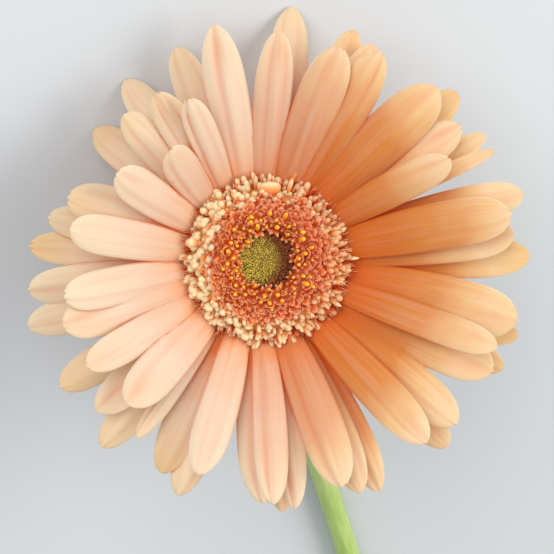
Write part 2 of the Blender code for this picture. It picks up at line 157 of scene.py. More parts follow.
# Contact between rays: how far above a ray's skin others are looked for, from how far off it, and in which
# ways, as (angle from straight up in degrees, how many ways)
CONTACT_REACH = 4.5 * MM
CONTACT_START = 0.25 * MM
CONTACT_WAYS = ((0, 1), (35, 4), (62, 6))

# Each ray's tip as the eye meets it: bearing in degrees, reach from the disc's middle in mm, greatest
# width in mm, lift of its chord in degrees, whorl, turn about its own length in degrees, crown, and how
# far its middle bows to the left of the line to its tip in mm
RAYS = (
    (84.4, 55.4, 8.8, 5.4, "outer", 0, 0.11, -0.4),
    (87.0, 50.1, 8.2, 27, "inner", 0, 0.13, 0.4),
    (71.1, 49.1, 10.0, 29, "inner", 0, 0.17, 0.4),
    (69.1, 53.8, 8.4, 14, "outer", 0, 0.11, 0),
    (61.3, 51.7, 9.6, 25, "inner", 0, 0.16, 0.3),
    (63.6, 52.5, 8.4, 17, "middle", 0, 0.11, 0),
    (45.3, 52.8, 11.4, 24, "inner", 0, 0.17, 0.3),
    (41.3, 55.4, 8.4, 14, "outer", 0, 0.08, -0.2),
    (34.8, 51.4, 8.8, 22, "middle", 0, 0.17, 0.2),
    (29.8, 54.9, 5.6, 13, "outer", 0, 0.08, 0),
    (28.6, 45.8, 7.8, 34, "inner", 0, 0.17, 0.4),
    (25.8, 55.2, 3.6, 18, "middle", 0, 0.08, 0.3),
    (14.6, 57.8, 8.6, 15, "outer", 0, 0.08, 0.4),
    (10.6, 54.3, 10.4, 27, "inner", 0, 0.08, 0.3),
    (6.0, 54.3, 9.4, 20, "middle", 0, 0.08, 0),
    (0.9, 57.3, 9.0, 13, "outer", 0, 0.08, -0.2),
    (-13.6, 56.2, 11.8, 20, "middle", 0, 0.08, 0.3),
    (-17.0, 57.2, 8.0, 13, "outer", 0, 0.08, 0),
    (-20.9, 53.8, 7.4, 28, "inner", -14, 0.1, 0),
    (-26.2, 54.9, 10.2, 20, "middle", 0, 0.1, -0.5),
    (-24.6, 56.7, 7.6, 12, "outer", 0, 0.08, 0),
    (-40.8, 54.7, 9.6, 21, "middle", 0, 0.1, 0.2),
    (-45.8, 56.7, 8.6, 14, "outer", 0, 0.1, 0),
    (-48.8, 53.0, 9.2, 28, "inner", 0, 0.1, -0.3),
    (-64.0, 56.0, 8.2, 14, "outer", 0, 0.15, 0.3),
    (-68.0, 54.7, 8.8, 21, "middle", 0, 0.15, 0),
    (-71.6, 52.3, 9.8, 28, "inner", 0, 0.15, 0),
    (-83.6, 54.7, 7.4, 22, "middle", 0, 0.15, 0.3),
    (-86.4, 54.9, 7.6, 14, "outer", 0, 0.15, 0),
    (-88.4, 53.4, 7.6, 28, "inner", 0, 0.17, 0),
    (-90.7, 53.2, 10.2, 20, "middle", 0, 0.18, -0.9),
    (-107.8, 49.3, 8.8, 28, "inner", 0, 0.17, 0.3),
    (-110.7, 54.9, 8.4, 14, "outer", 0, 0.15, 0),
    (-116.5, 51.9, 8.8, 16, "outer", 0, 0.17, -0.3),
    (-126.0, 48.2, 4.6, 22, "middle", 0, 0.15, 0),
    (-131.6, 54.5, 8.2, 14, "outer", 0, 0.15, 0),
    (-134.0, 44.0, 9.8, 32, "inner", 0, 0.12, 0),
    (-138.2, 49.7, 8.4, 21, "middle", 0, 0.12, 0),
    (-149.3, 45.8, 7.6, 31, "inner", 0, 0.12, 0.2),
    (-148.3, 53.0, 8.2, 14, "outer", 0, 0.12, 0),
    (-162.0, 46.9, 9.4, 28, "inner", 0, 0.12, 0.3),
    (-164.6, 54.1, 8.0, 14, "outer", 0, 0.12, 0.3),
    (-169.4, 45.1, 8.4, 31, "inner", 0, 0.12, -0.3),
    (-172.8, 52.5, 8.4, 15, "outer", 0, 0.12, 0),
    (176.8, 51.9, 7.4, 14, "outer", 0, 0.12, 0),
    (171.4, 43.6, 8.8, 32, "inner", 0, 0.12, 0),
    (169.1, 48.6, 7.4, 17, "outer", 0, 0.12, 0),
    (162.6, 45.6, 9.0, 25, "middle", 0, 0.12, -0.8),
    (150.3, 37.9, 8.6, 41, "inner", 0, 0.12, 0),
    (142.9, 47.1, 8.2, -2.9, "outer", 0, 0.12, 0.3),
    (134.6, 44.5, 8.0, 28, "middle", 0, 0.12, 0),
    (131.7, 32.0, 8.0, 48, "inner", 0, 0.12, 0),
    (128.4, 50.0, 8.2, 5.2, "outer", 0, 0.12, 0),
    (123.8, 43.8, 7.8, 32, "middle", 0, 0.12, 0),
    (116.0, 39.0, 6.8, 40, "inner", 0, 0.12, 0),
    (113.2, 50.5, 8.4, 15, "outer", 0, 0.12, 0),
    (102.7, 52.5, 9.2, 25, "inner", 0, 0.12, 0.2),
)


def mm(length):
    return length * MM


def linear(hex_colour):
    """An sRGB hex colour as the linear RGB that Blender works in."""
    channels = [int(hex_colour[k : k + 2], 16) / 255 for k in (1, 3, 5)]
    return tuple(c / 12.92 if c <= 0.04045 else ((c + 0.055) / 1.055) ** 2.4 for c in channels)


def rgb(colour):
    """Linear RGB of a colour that is an sRGB hex or a setting."""
    return linear(colour) if isinstance(colour, str) else tuple(colour)


# Settings


def colour_property(name, description, hex_colour):
    return bpy.props.FloatVectorProperty(
        name=name,
        description=description,
        default=linear(hex_colour),
        size=3,
        min=0.0,
        max=1.0,
        subtype="COLOR",
    )


def length_property(name, description, default, least=0.0):
    """A length whose first and least values are given in mm."""
    return bpy.props.FloatProperty(
        name=name, description=description, default=mm(default), min=mm(least), unit="LENGTH"
    )


def count_property(name, description, default):
    return bpy.props.IntProperty(name=name, description=description, default=default, min=1)


def light_property(name, description, default, unit="POWER"):
    return bpy.props.FloatProperty(name=name, description=description, default=default, min=0.0, unit=unit)


class RaySettings(bpy.types.PropertyGroup):
    thickness: length_property("Thickness", "Thickness of a ray along its middle", 0.55, 0.1)
    groove: length_property("Groove Depth", "Depth of the grooves along each ray", 0.22)
    notch: length_property("Notch Depth", "Greatest depth of the notches in a ray's tip", 0.6)
    crease: length_property("Tip Crease", "Greatest depth of the crease in a ray's tip", 0.45)
    # Pale and warm peach are painted light: the lit rays left of the disc and the backlit ones right of it
    pale: colour_property("Pale Peach", "Colour of the palest rays", "#F7E7D6")
    warm: colour_property("Warm Peach", "Colour of the warmest rays", "#E48834")
    root: colour_property("Root", "Colour at the roots of the rays", "#EC7A24")
    base: colour_property("Base", "Colour where a ray meets the disc", "#EA6420")
    tan: colour_property("Tip Tan", "Colour that some rays fade to at their tips", "#F0CE8E")
    glow: colour_property("Glow", "Tint of the light that comes through a ray", "#FFDC9C")


class DiscSettings(bpy.types.PropertyGroup):
    trans_count: count_property("Trans Florets", "Ruffled florets round the disc", 470)
    open_count: count_property("Open Florets", "Florets with open anthers", 62)
    red_count: count_property("Red Florets", "Florets of the coral ring", 150)
    bud_count: count_property("Buds", "Unopened buds in the middle", 540)
    pappus_count: count_property("Bristles", "Fine bristles between the outer florets", 520)
    cream: colour_property("Cream", "Tips of the trans florets", "#FFF5C4")
    peach: colour_property("Peach", "Bodies of the trans florets", "#FFC27A")
    coral: colour_property("Coral", "Lobes of the disc florets", "#F48A44")
    deep_red: colour_property("Deep Red", "Throats of the disc florets", "#BC380A")
    anther: colour_property("Anther", "Pollen-bearing tops of the florets", "#FBB921")
    bud_green: colour_property("Bud Green", "Buds in the middle", "#B8A03A")
    bud_brown: colour_property("Bud Brown", "Young buds at the rim", "#7C3E14")


class GreenSettings(bpy.types.PropertyGroup):
    stem: colour_property("Stem", "Skin of the stem", "#9AC050")
    stem_pale: colour_property("Pale Stem", "Pale fibres and neck of the stem", "#E4EFAE")
    bract: colour_property("Bract", "Bracts behind the head", "#5E7F37")
    bract_edge: colour_property("Bract Edge", "Tint of the light that comes through a bract", "#A9B36A")
    down: length_property("Down Length", "Length of the fine hairs on the stem", 0.9, 0.1)


class StageSettings(bpy.types.PropertyGroup):
    floor: colour_property("Floor", "Colour of the floor", "#CFD5DC")
    key_power: light_property("Key Light", "Power of the low light from the right", 6.2)
    fill_power: light_property("Fill Light", "Power of the soft light from above", 10.2)
    sky: light_property("Room Light", "Strength of the even light all round", 0.5, "NONE")


# Meshes


def new_shape():
    """An empty shape: points, faces, and for each point the marks that its material reads."""
    return {"points": [], "faces": [], "marks": {}}


def add_points(shape, points, marks):
    """Adds points whose marks are numbers, or one number for each point."""
    start = len(shape["points"])
    shape["points"].extend(points)
    for name, value in marks.items():
        values = value if isinstance(value, list) else [value] * len(points)
        shape["marks"].setdefault(name, []).extend(values)
    return start


def add_blade(shape, place, rows, columns, thickness, marks):
    """Adds a closed blade.

    place gives a point of its middle surface from a share of its length and a place across it from -1
    to 1, and thickness is its thickness along the middle.
    """
    grid = [[place(share, across) for across in columns] for share in rows]
    last_row, last_column = len(rows) - 1, len(columns) - 1
    upper, lower, shares, acrosses = [], [], [], []
    for i, share in enumerate(rows):
        for j, across in enumerate(columns):
            along = grid[min(i + 1, last_row)][j] - grid[max(i - 1, 0)][j]
            side = grid[i][min(j + 1, last_column)] - grid[i][max(j - 1, 0)]
            normal = along.cross(side).normalized()
            thin = thickness / 2 * (0.3 + 0.7 * sqrt(max(0.0, 1 - across**2))) * (1 - 0.5 * share**3)
            upper.append(grid[i][j] + normal * thin)
            lower.append(grid[i][j] - normal * thin)
            shares.append(share)
            acrosses.append(across)
    count = len(upper)
    start = add_points(shape, upper + lower, {"share": shares * 2, "across": acrosses * 2, **marks})
    width = len(columns)
    for i in range(last_row):
        for j in range(last_column):
            a = start + i * width + j
            shape["faces"].append((a, a + width, a + width + 1, a + 1))
            shape["faces"].append((a + count + 1, a + count + width + 1, a + count + width, a + count))
    rim = [i * width for i in range(last_row)]
    rim += [last_row * width + j for j in range(last_column)]
    rim += [i * width + last_column for i in range(last_row, 0, -1)]
    rim += [j for j in range(last_column, 0, -1)]
    for k, a in enumerate(rim):
        a, b = start + a, start + rim[(k + 1) % len(rim)]
        shape["faces"].append((b, a, a + count, b + count))


def add_turned(shape, profile, sides, marks):
    """Adds a body turned about Z from (radius, height) pairs in mm whose ends lie on the axis or meet."""
    rings = []
    for number, (radius, height) in enumerate(profile):
        every = {"share": number / (len(profile) - 1), **marks}
        radius, height = mm(radius), mm(height)
        if not radius:
            rings.append([add_points(shape, [Vector((0, 0, height))], every)] * sides)
            continue
        turns = [2 * pi * k / sides for k in range(sides)]
        ring = [Vector((radius * cos(turn), radius * sin(turn), height)) for turn in turns]
        start = add_points(shape, ring, every)
        rings.append(list(range(start, start + sides)))
    for low, high in zip(rings, rings[1:]):
        for k in range(sides):
            corners = (low[k], low[(k + 1) % sides], high[(k + 1) % sides], high[k])
            shape["faces"].append(tuple(dict.fromkeys(corners)))


def mesh_of(name, shape):
    """A mesh from a shape, smooth, with its marks as attributes."""
    mesh = bpy.data.meshes.new(name)
    mesh.from_pydata([tuple(point) for point in shape["points"]], [], shape["faces"])
    for mark, values in shape["marks"].items():
        mesh.attributes.new(mark, "FLOAT", "POINT").data.foreach_set("value", values)
    mesh.shade_smooth()
    return mesh


def head_matrix():
    lean = Matrix.Rotation(-HEAD_TIP, 4, "X")
    roll = Matrix.Rotation(-HEAD_ROLL, 4, "Z")
    return Matrix.Translation(HEAD_PLACE) @ lean @ roll


def add_piece(name, form, material, nodes, in_head=True):
    """Shows a mesh or a shape, its faces turned outwards, as a piece that stands for CAD nodes."""
    mesh = mesh_of(name, form) if isinstance(form, dict) else form
    if in_head:
        mesh.transform(head_matrix())
    bm = bmesh.new()
    bm.from_mesh(mesh)
    bmesh.ops.recalc_face_normals(bm, faces=bm.faces)
    bm.to_mesh(mesh)
    bm.free()
    mesh.name = name
    mesh.materials.clear()
    mesh.materials.append(material)
    piece = bpy.data.objects.new(name, mesh)
    bpy.context.scene.collection.objects.link(piece)
    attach(piece, "root")
    if nodes:
        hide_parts(*nodes)


def smooth(value, low, high):
    """0 below low, 1 above high and an even curve between."""
    share = min(1.0, max(0.0, (value - low) / (high - low)))
    return share * share * (3 - 2 * share)


# Nodes


def add(tree, kind, inputs=None, **settings):
    """Adds a node with its settings.

    inputs maps a socket's name or number to a value, to the socket or node that feeds it, or to a list
    of nodes where it takes several.
    """
    node = tree.nodes.new(kind)
    for name, value in settings.items():
        setattr(node, name, value)
    for key, given in (inputs or {}).items():
        for value in given if isinstance(given, list) else [given]:
            if isinstance(value, bpy.types.Node):
                value = next(out for out in value.outputs if out.enabled)
            if isinstance(value, bpy.types.NodeSocket):
                tree.links.new(value, node.inputs[key])
            else:
                node.inputs[key].default_value = value
    return node


def calc(tree, operation, *values, **settings):
    """One step of arithmetic."""
    return add(tree, "ShaderNodeMath", dict(enumerate(values)), operation=operation, **settings)


def remap(tree, value, old=(0.0, 1.0), new=(0.0, 1.0), **settings):
    """A value moved from one span to another and held inside it."""
    labels = ("Value", "From Min", "From Max", "To Min", "To Max")
    return add(tree, "ShaderNodeMapRange", dict(zip(labels, (value, *old, *new))), **settings)


def ease(tree, value, low, high, top=1.0):
    """A smooth rise from 0 to top while a value goes from low to high."""
    return remap(tree, value, (low, high), (0.0, top), interpolation_type="SMOOTHSTEP")


def scaled(tree, vector, factor):
    return add(tree, "ShaderNodeVectorMath", {0: vector, "Scale": factor}, operation="SCALE")


def random_value(tree, low, high, index, seed):
    """A random value for each point, by its number."""
    sockets = {2: low, 3: high, "ID": index, "Seed": seed}
    return add(tree, "FunctionNodeRandomValue", sockets, data_type="FLOAT")


def mark_points(tree, points, **marks):
    """Points that carry named values for their material."""
    for name, value in marks.items():
        sockets = {"Geometry": points, "Name": name, "Value": value}
        points = add(tree, "GeometryNodeStoreNamedAttribute", sockets, data_type="FLOAT", domain="POINT")
    return points


def stand(tree, points, shapes, index, **sockets):
    """Stands shapes of a set on points, each point with the one that its number picks."""
    every = {"Collection": shapes, "Separate Children": True, "Reset Children": True}
    choice = {"Instance": add(tree, "GeometryNodeCollectionInfo", every), "Pick Instance": True}
    return add(
        tree, "GeometryNodeInstanceOnPoints", {"Points": points, **choice, "Instance Index": index, **sockets}
    )


def new_tree(name, **inputs):
    """An empty geometry tree with inputs, named under their kinds of socket, and its input node."""
    tree = bpy.data.node_groups.new(name, "GeometryNodeTree")
    tree.interface.new_socket("Geometry", in_out="OUTPUT", socket_type="NodeSocketGeometry")
    for kind, labels in {**inputs, "Material": ["Material"]}.items():
        for label in labels:
            tree.interface.new_socket(label, in_out="INPUT", socket_type="NodeSocket" + kind)
    return tree, tree.nodes.new("NodeGroupInput").outputs


def finish_tree(tree, given, geometry):
    """Ends a tree: what it placed becomes real, and takes its material."""
    real = add(tree, "GeometryNodeRealizeInstances", {"Geometry": geometry})
    dressed = add(tree, "GeometryNodeSetMaterial", {"Geometry": real, "Material": given["Material"]})
    add(tree, "NodeGroupOutput", {"Geometry": dressed})
    return tree


def grow(tree, values, start=None):
    """The plain mesh that a tree makes from the named values."""
    carrier = bpy.data.objects.new("grown", start or bpy.data.meshes.new("grown"))
    bpy.context.scene.collection.objects.link(carrier)
    rule = carrier.modifiers.new("Rule", "NODES")
    rule.node_group = tree
    for item in tree.interface.items_tree:
        if item.in_out == "INPUT" and item.name in values:
            rule[item.identifier] = values[item.name]
    bpy.context.view_layer.update()
    graph = bpy.context.evaluated_depsgraph_get()
    mesh = bpy.data.meshes.new_from_object(
        carrier.evaluated_get(graph), preserve_all_data_layers=True, depsgraph=graph
    )
    bpy.data.objects.remove(carrier, do_unlink=True)
    return mesh


def shape_set(name, shapes):
    """A collection of shapes for a tree to pick from."""
    group = bpy.data.collections.new(name)
    bpy.context.scene.collection.children.link(group)
    for number, shape in enumerate(shapes):
        label = f"{name}_{number}"
        group.objects.link(bpy.data.objects.new(label, mesh_of(label, shape)))
    return group


def remove_set(group):
    for thing in list(group.objects):
        bpy.data.objects.remove(thing, do_unlink=True)
    bpy.data.collections.remove(group)


def spiral_tree():
    """Stands shapes on a ring in golden-angle order, as the florets of a disc grow.

    A shape's +Z is its own axis and its +X faces away from the middle. The left third of the ring picks
    its shapes from a set of its own.
    """
    ends = [f"{end} {what}" for what in ("Radius", "Height", "Lean", "Size") for end in ("Inner", "Outer")]
    tree, given = new_tree(
        "Golden Angle Florets",
        Int=("Count", "Seed"),
        Float=(*ends, "Scatter"),
        Collection=("Left Shapes", "Right Shapes"),
    )
    index = add(tree, "GeometryNodeInputIndex")
    share = calc(tree, "DIVIDE", calc(tree, "ADD", index, 0.5), given["Count"])

    def between(what):
        return remap(tree, share, new=(given["Inner " + what], given["Outer " + what]))

    squares = [calc(tree, "POWER", given[end + " Radius"], 2.0) for end in ("Inner", "Outer")]
    radius = calc(tree, "SQRT", remap(tree, share, new=squares))
    swing = calc(tree, "MULTIPLY", given["Scatter"], -1.0)
    seeds = [calc(tree, "ADD", given["Seed"], float(k)) for k in range(3)]
    stray = [random_value(tree, swing, given["Scatter"], index, seed) for seed in seeds]
    turn = calc(tree, "MULTIPLY_ADD", stray[0], 0.35, calc(tree, "MULTIPLY", index, GOLDEN_ANGLE))
    east, north = calc(tree, "COSINE", turn), calc(tree, "SINE", turn)
    east_away, north_away = calc(tree, "MULTIPLY", east, radius), calc(tree, "MULTIPLY", north, radius)
    place = {"X": east_away, "Y": north_away, "Z": between("Height")}
    position = add(tree, "ShaderNodeCombineXYZ", place)
    lean = calc(tree, "ADD", between("Lean"), stray[1])
    facing = calc(tree, "ADD", turn, stray[2])
    rotation = add(tree, "ShaderNodeCombineXYZ", {"Y": lean, "Z": facing})
    tone = random_value(tree, 0.0, 1.0, index, given["Seed"])
    size = calc(tree, "MULTIPLY", between("Size"), remap(tree, tone, new=(0.76, 1.2)))
    points = add(tree, "GeometryNodePoints", {"Count": given["Count"], "Position": position})
    points = mark_points(tree, points, spread=share, tone=tone, east=east)
    # The border of the left third is ragged
    side = calc(tree, "MULTIPLY_ADD", stray[2], 1.5, east)
    is_right = add(
        tree, "FunctionNodeCompare", {0: side, 1: -0.45}, operation="GREATER_THAN", data_type="FLOAT"
    )
    is_left = add(tree, "FunctionNodeBooleanMath", {0: is_right}, operation="NOT")
    stood = [
        stand(tree, points, given[label], index, Selection=chosen, Rotation=rotation, Scale=size)
        for label, chosen in (("Right Shapes", is_right), ("Left Shapes", is_left))
    ]
    return finish_tree(tree, given, add(tree, "GeometryNodeJoinGeometry", {"Geometry": stood}))


def row_tree():
    """Stands one row of shapes evenly round the axis, each a little astray."""
    tree, given = new_tree(
        "Row Round The Axis", Int=("Count", "Seed"), Float=("First Turn", "Scatter"), Collection=["Shapes"]
    )
    index = add(tree, "GeometryNodeInputIndex")
    step = calc(tree, "DIVIDE", 2 * pi, given["Count"])
    even = calc(tree, "MULTIPLY_ADD", index, step, given["First Turn"])
    swing = calc(tree, "MULTIPLY", given["Scatter"], -1.0)
    stray = random_value(tree, swing, given["Scatter"], index, given["Seed"])
    turn = add(tree, "ShaderNodeCombineXYZ", {"Z": calc(tree, "ADD", even, stray)})
    tone = random_value(tree, 0.0, 1.0, index, given["Seed"])
    points = mark_points(tree, add(tree, "GeometryNodePoints", {"Count": given["Count"]}), tone=tone)
    return finish_tree(tree, given, stand(tree, points, given["Shapes"], index, Rotation=turn))


def stem_tree():
    """Draws a ribbed tube along a line of points that carry its radius."""
    tree, given = new_tree("Ribbed Stem", Geometry=["Geometry"], Int=["Sides"], Float=("Ribs", "Rib Height"))
    line = add(tree, "GeometryNodeMeshToCurve", {"Mesh": given["Geometry"]})
    ring = add(tree, "GeometryNodeCurvePrimitiveCircle", {"Resolution": given["Sides"], "Radius": 1.0})
    factor = add(tree, "GeometryNodeSplineParameter").outputs["Factor"]
    ribs = calc(tree, "MULTIPLY", calc(tree, "MULTIPLY", factor, 2 * pi), given["Ribs"])
    swell = calc(tree, "MULTIPLY_ADD", calc(tree, "SINE", ribs), given["Rib Height"], 1.0)
    ribbed = scaled(tree, add(tree, "GeometryNodeInputPosition"), swell)
    profile = add(tree, "GeometryNodeSetPosition", {"Geometry": ring, "Position": ribbed})
    radius = add(tree, "GeometryNodeInputNamedAttribute", {"Name": "girth"}, data_type="FLOAT")
    tube = {"Curve": line, "Profile Curve": profile, "Scale": radius, "Fill Caps": True}
    return finish_tree(tree, given, add(tree, "GeometryNodeCurveToMesh", tube))


def down_tree():
    """Scatters fine hairs over a surface, none on its underside, each turned its own way."""
    tree, given = new_tree(
        "Fine Down", Geometry=["Geometry"], Float=["Density"], Int=["Seed"], Collection=["Shapes"]
    )
    seed = {"Seed": given["Seed"]}
    normal = add(tree, "ShaderNodeSeparateXYZ", {"Vector": add(tree, "GeometryNodeInputNormal")})
    is_seen = add(
        tree,
        "FunctionNodeCompare",
        {0: normal.outputs["Z"], 1: -0.3},
        operation="GREATER_THAN",
        data_type="FLOAT",
    )
    skin = {"Mesh": given["Geometry"], "Selection": is_seen, "Density": given["Density"]}
    spots = add(tree, "GeometryNodeDistributePointsOnFaces", {**skin, **seed})
    sways = {0: (-0.5, -0.5, -3.1), 1: (0.5, 0.5, 3.1), **seed}
    sway = add(tree, "FunctionNodeRandomValue", sways, data_type="FLOAT_VECTOR")
    size = add(tree, "FunctionNodeRandomValue", {2: 0.5, 3: 1.1, **seed}, data_type="FLOAT")
    turned = add(
        tree,
        "FunctionNodeRotateRotation",
        {"Rotation": spots.outputs["Rotation"], "Rotate By": sway},
        rotation_space="LOCAL",
    )
    index = add(tree, "GeometryNodeInputIndex")
    hairs = stand(tree, spots.outputs["Points"], given["Shapes"], index, Rotation=turned, Scale=size)
    return finish_tree(tree, given, hairs)


# Materials


def new_material(name):
    made = bpy.data.materials.new(name)
    made.use_nodes = True
    made.node_tree.nodes.clear()
    return made, made.node_tree


def marks_of(tree, *names):
    """The marks of a mesh, each as a value."""
    return [add(tree, "ShaderNodeAttribute", attribute_name=name).outputs["Fac"] for name in names]


def noise(tree, size, detail, **sockets):
    """Unevenness of a size in mm."""
    place = add(tree, "ShaderNodeTexCoord").outputs["Object"]
    every = {"Vector": place, "Scale": 1 / mm(size), "Detail": detail, **sockets}
    return add(tree, "ShaderNodeTexNoise", every)


def ramp(tree, value, stops):
    """A colour from a value, by stops of (place, colour)."""
    node = add(tree, "ShaderNodeValToRGB", {"Fac": value})
    elements = node.color_ramp.elements
    while len(elements) < len(stops):
        elements.new(0.5)
    for element, (at, colour) in zip(elements, stops):
        element.position = at
        element.color = (*rgb(colour), 1)
    return node


def blend(tree, share, first, second):
    """A colour between two, each of them made by a node or given."""
    made = (bpy.types.Node, bpy.types.NodeSocket)
    ends = [colour if isinstance(colour, made) else (*rgb(colour), 1) for colour in (first, second)]
    return add(tree, "ShaderNodeMix", {0: share, 6: ends[0], 7: ends[1]}, data_type="RGBA")


def bumps(tree, height, strength, distance):
    """Relief as deep as a distance in mm."""
    return add(tree, "ShaderNodeBump", {"Strength": strength, "Distance": mm(distance), "Height": height})


def dress(tree, skin, through=None, glow=0.0):
    """Ends a material: its skin and, by glow, the light that comes through it."""
    surface = add(tree, "ShaderNodeBsdfPrincipled", skin)
    if glow:
        passed = add(tree, "ShaderNodeBsdfTranslucent", {"Color": through, "Normal": skin["Normal"]})
        surface = add(tree, "ShaderNodeMixShader", {"Fac": glow, 1: surface, 2: passed})
    add(tree, "ShaderNodeOutputMaterial", {"Surface": surface})


def tissue_material(
    name, stops, through, roughness=0.5, grain=1.2, glow=0.35, rim=None, rim_weight=0.0, west=None, east=None
):
    """Soft plant tissue, coloured from root to tip, that lets some light through.

    stops are (share of the length, colour), through is the colour of the light that passes, and grain is
    the size of its cells in mm: ten times life, because real cells don't show. rim is the colour that its
    side edges take, by rim_weight. west and east are (colour, weight) for florets left and right of the
    disc's middle: painted light, for the lit left side and the shaded, backlit right side.
    """
    made, tree = new_material(name)
    share, tone, across, eastward = marks_of(tree, "share", "tone", "across", "east")
    cells = noise(tree, grain, 3.0, Roughness=0.6)
    wander = calc(tree, "MULTIPLY_ADD", cells, 0.22, share)
    along = ramp(tree, calc(tree, "SUBTRACT", wander, 0.11), stops)
    edge = ease(tree, calc(tree, "ABSOLUTE", across), 0.5, 1.0, rim_weight)
    colour = blend(tree, edge, along, rim or stops[0][1])
    for tint, far in ((west, -1.0), (east, 1.0)):
        if tint:
            weight = remap(tree, eastward, (0.0, far), (0.0, tint[1]))
            colour = blend(tree, weight, colour, tint[0])
    skin = {
        "Base Color": scaled(tree, colour, remap(tree, tone, new=(0.88, 1.06))),
        "Roughness": roughness,
        "Specular IOR Level": 0.35,
        "Normal": bumps(tree, cells, 0.5, 0.12),
    }
    dress(tree, skin, (*rgb(through), 1), glow)
    return made


def petal_material(settings):
    """Living gerbera petal: satin skin with fine lengthwise veins.

    Its colour runs from the orange of its root to a cream tip, and light glows warm through it. The veins
    are about 0.7 mm apart, three times life, because real ones are too fine to show.
    """
    made, tree = new_material("Peach Petal")
    share, across, tone, tanned, groove, run, ray, shelter = marks_of(
        tree, "share", "across", "tone", "tan", "groove", "run", "ray", "shelter"
    )
    # Fine streaks that follow the ray's length, different on each ray
    beside = calc(tree, "MULTIPLY_ADD", across, 5.0, ray)
    along = calc(tree, "MULTIPLY", share, 1.2)
    lengthwise = add(tree, "ShaderNodeCombineXYZ", {"X": beside, "Y": along, "Z": ray})
    streaks = add(tree, "ShaderNodeTexNoise", {"Vector": lengthwise, "Scale": 1.0, "Detail": 2.5})
    wander = calc(tree, "MULTIPLY", streaks, 5.0)
    veins = calc(tree, "SINE", calc(tree, "MULTIPLY_ADD", across, 12 * pi, wander))
    # Each ray's colour runs from its root to its tip, between that of a pale ray and that of a warm one;
    # how warm a ray is (its tone) is painted light: warm for the backlit rays, pale for the lit ones
    strayed = calc(tree, "MULTIPLY_ADD", noise(tree, 9, 2.0), 0.26, run)
    streaked = calc(tree, "MULTIPLY_ADD", streaks, 0.3, strayed)
    length = calc(tree, "SUBTRACT", streaked, 0.28, use_clamp=True)
    pale_root = ((0.0, "#FA9448"), (0.1, "#FFC28E"), (0.25, "#F9DCBE"))
    pale_ray = ramp(tree, length, (*pale_root, (0.55, settings.pale), (1.0, "#F5EAD6")))
    warm_root = ((0.0, settings.base), (0.12, settings.root), (0.34, settings.warm))
    warm_ray = ramp(tree, length, (*warm_root, (0.58, "#E79E4E"), (0.8, "#F2D096"), (0.97, "#F8E4C2")))
    striped = calc(tree, "MULTIPLY_ADD", streaks, 0.7, tone)
    warmth_and_backlight = calc(tree, "SUBTRACT", striped, 0.35, use_clamp=True)
    colour = blend(tree, tanned, blend(tree, warmth_and_backlight, pale_ray, warm_ray), settings.tan)
    # Edges and grooves take the root's colour: at edges as painted shade where rays overlap, in grooves
    # partly their own deeper colour and partly painted shade; edges less so towards the tip
    outer = calc(tree, "ABSOLUTE", across)
    edge = ease(tree, outer, 0.84, 1.0, remap(tree, share, (0.45, 0.85), (0.5, 0.0)))
    furrow_colour_and_shade = calc(tree, "MULTIPLY_ADD", groove, 0.13, edge, use_clamp=True)
    colour = blend(tree, furrow_colour_and_shade, colour, settings.root)
    # Where rays lie close over one another, the light between them is saturated orange
    covered = ease(tree, shelter, 0.1, 0.4, remap(tree, share, (0.55, 1.0), (0.8, 0.1)))
    colour = blend(tree, covered, colour, "#F68A2C")
    # The thin margin near the tip catches the light
    margin = ease(tree, outer, 0.9, 1.0, remap(tree, share, (0.55, 0.9), (0.0, 0.7)))
    colour = blend(tree, margin, colour, "#FFFAEC")
    # Light that comes through is deepest on warm rays and least so at the thin tips
    deepened = blend(tree, tone, "#FFF0CC", settings.glow)
    tint = blend(tree, remap(tree, share, (0.45, 0.95)), deepened, "#FFF6E4")
    through = add(tree, "ShaderNodeVectorMath", {0: colour, 1: tint}, operation="MULTIPLY")
    relief = calc(tree, "MULTIPLY_ADD", veins, 0.3, streaks)
    skin = {
        "Base Color": scaled(tree, colour, remap(tree, veins, (-1.0, 1.0), (0.975, 1.0))),
        "Roughness": 0.5,
        "Specular IOR Level": 0.3,
        "Sheen Weight": 0.1,
        "Normal": bumps(tree, relief, 0.22, 0.06),
    }
    dress(tree, skin, through, 0.4)
    return made


def stem_material(settings):
    """Living stem: smooth green skin with fine lengthwise fibres, paler towards the neck."""
    made, tree = new_material("Green Stem")
    place = add(tree, "ShaderNodeTexCoord").outputs["Object"]
    northward = add(tree, "ShaderNodeSeparateXYZ", {"Vector": place}).outputs["Y"]
    stretched = add(tree, "ShaderNodeMapping", {"Vector": place, "Scale": (1.0, 0.12, 1.0)})
    fibres = add(tree, "ShaderNodeTexNoise", {"Vector": stretched, "Scale": 1 / mm(0.8), "Detail": 4.0})
    neck = remap(tree, northward, (-0.05, 0.09), (-0.15, 0.35))
    lightness = calc(tree, "MULTIPLY_ADD", fibres, 0.7, neck)
    blotched = calc(tree, "MULTIPLY_ADD", noise(tree, 14, 2.0), 0.4, lightness)
    level = calc(tree, "SUBTRACT", blotched, 0.3, use_clamp=True)
    skin = {
        "Base Color": blend(tree, level, settings.stem, settings.stem_pale),
        "Roughness": 0.42,
        "Specular IOR Level": 0.4,
        "Sheen Weight": 0.15,
        "Normal": bumps(tree, fibres, 0.35, 0.1),
    }
    dress(tree, skin)
    return made


def floor_material(settings):
    """Matt painted board: plain and pale, with the least unevenness of a roller."""
    made, tree = new_material("Pale Floor")
    place = add(tree, "ShaderNodeTexCoord").outputs["Object"]
    nap = add(tree, "ShaderNodeTexNoise", {"Vector": place, "Scale": 900.0, "Detail": 2.0})
    skin = {
        "Base Color": (*settings.floor, 1),
        "Roughness": 0.7,
        "Specular IOR Level": 0.2,
        "Normal": bumps(tree, nap, 0.05, 0.1),
    }
    dress(tree, skin)
    return made


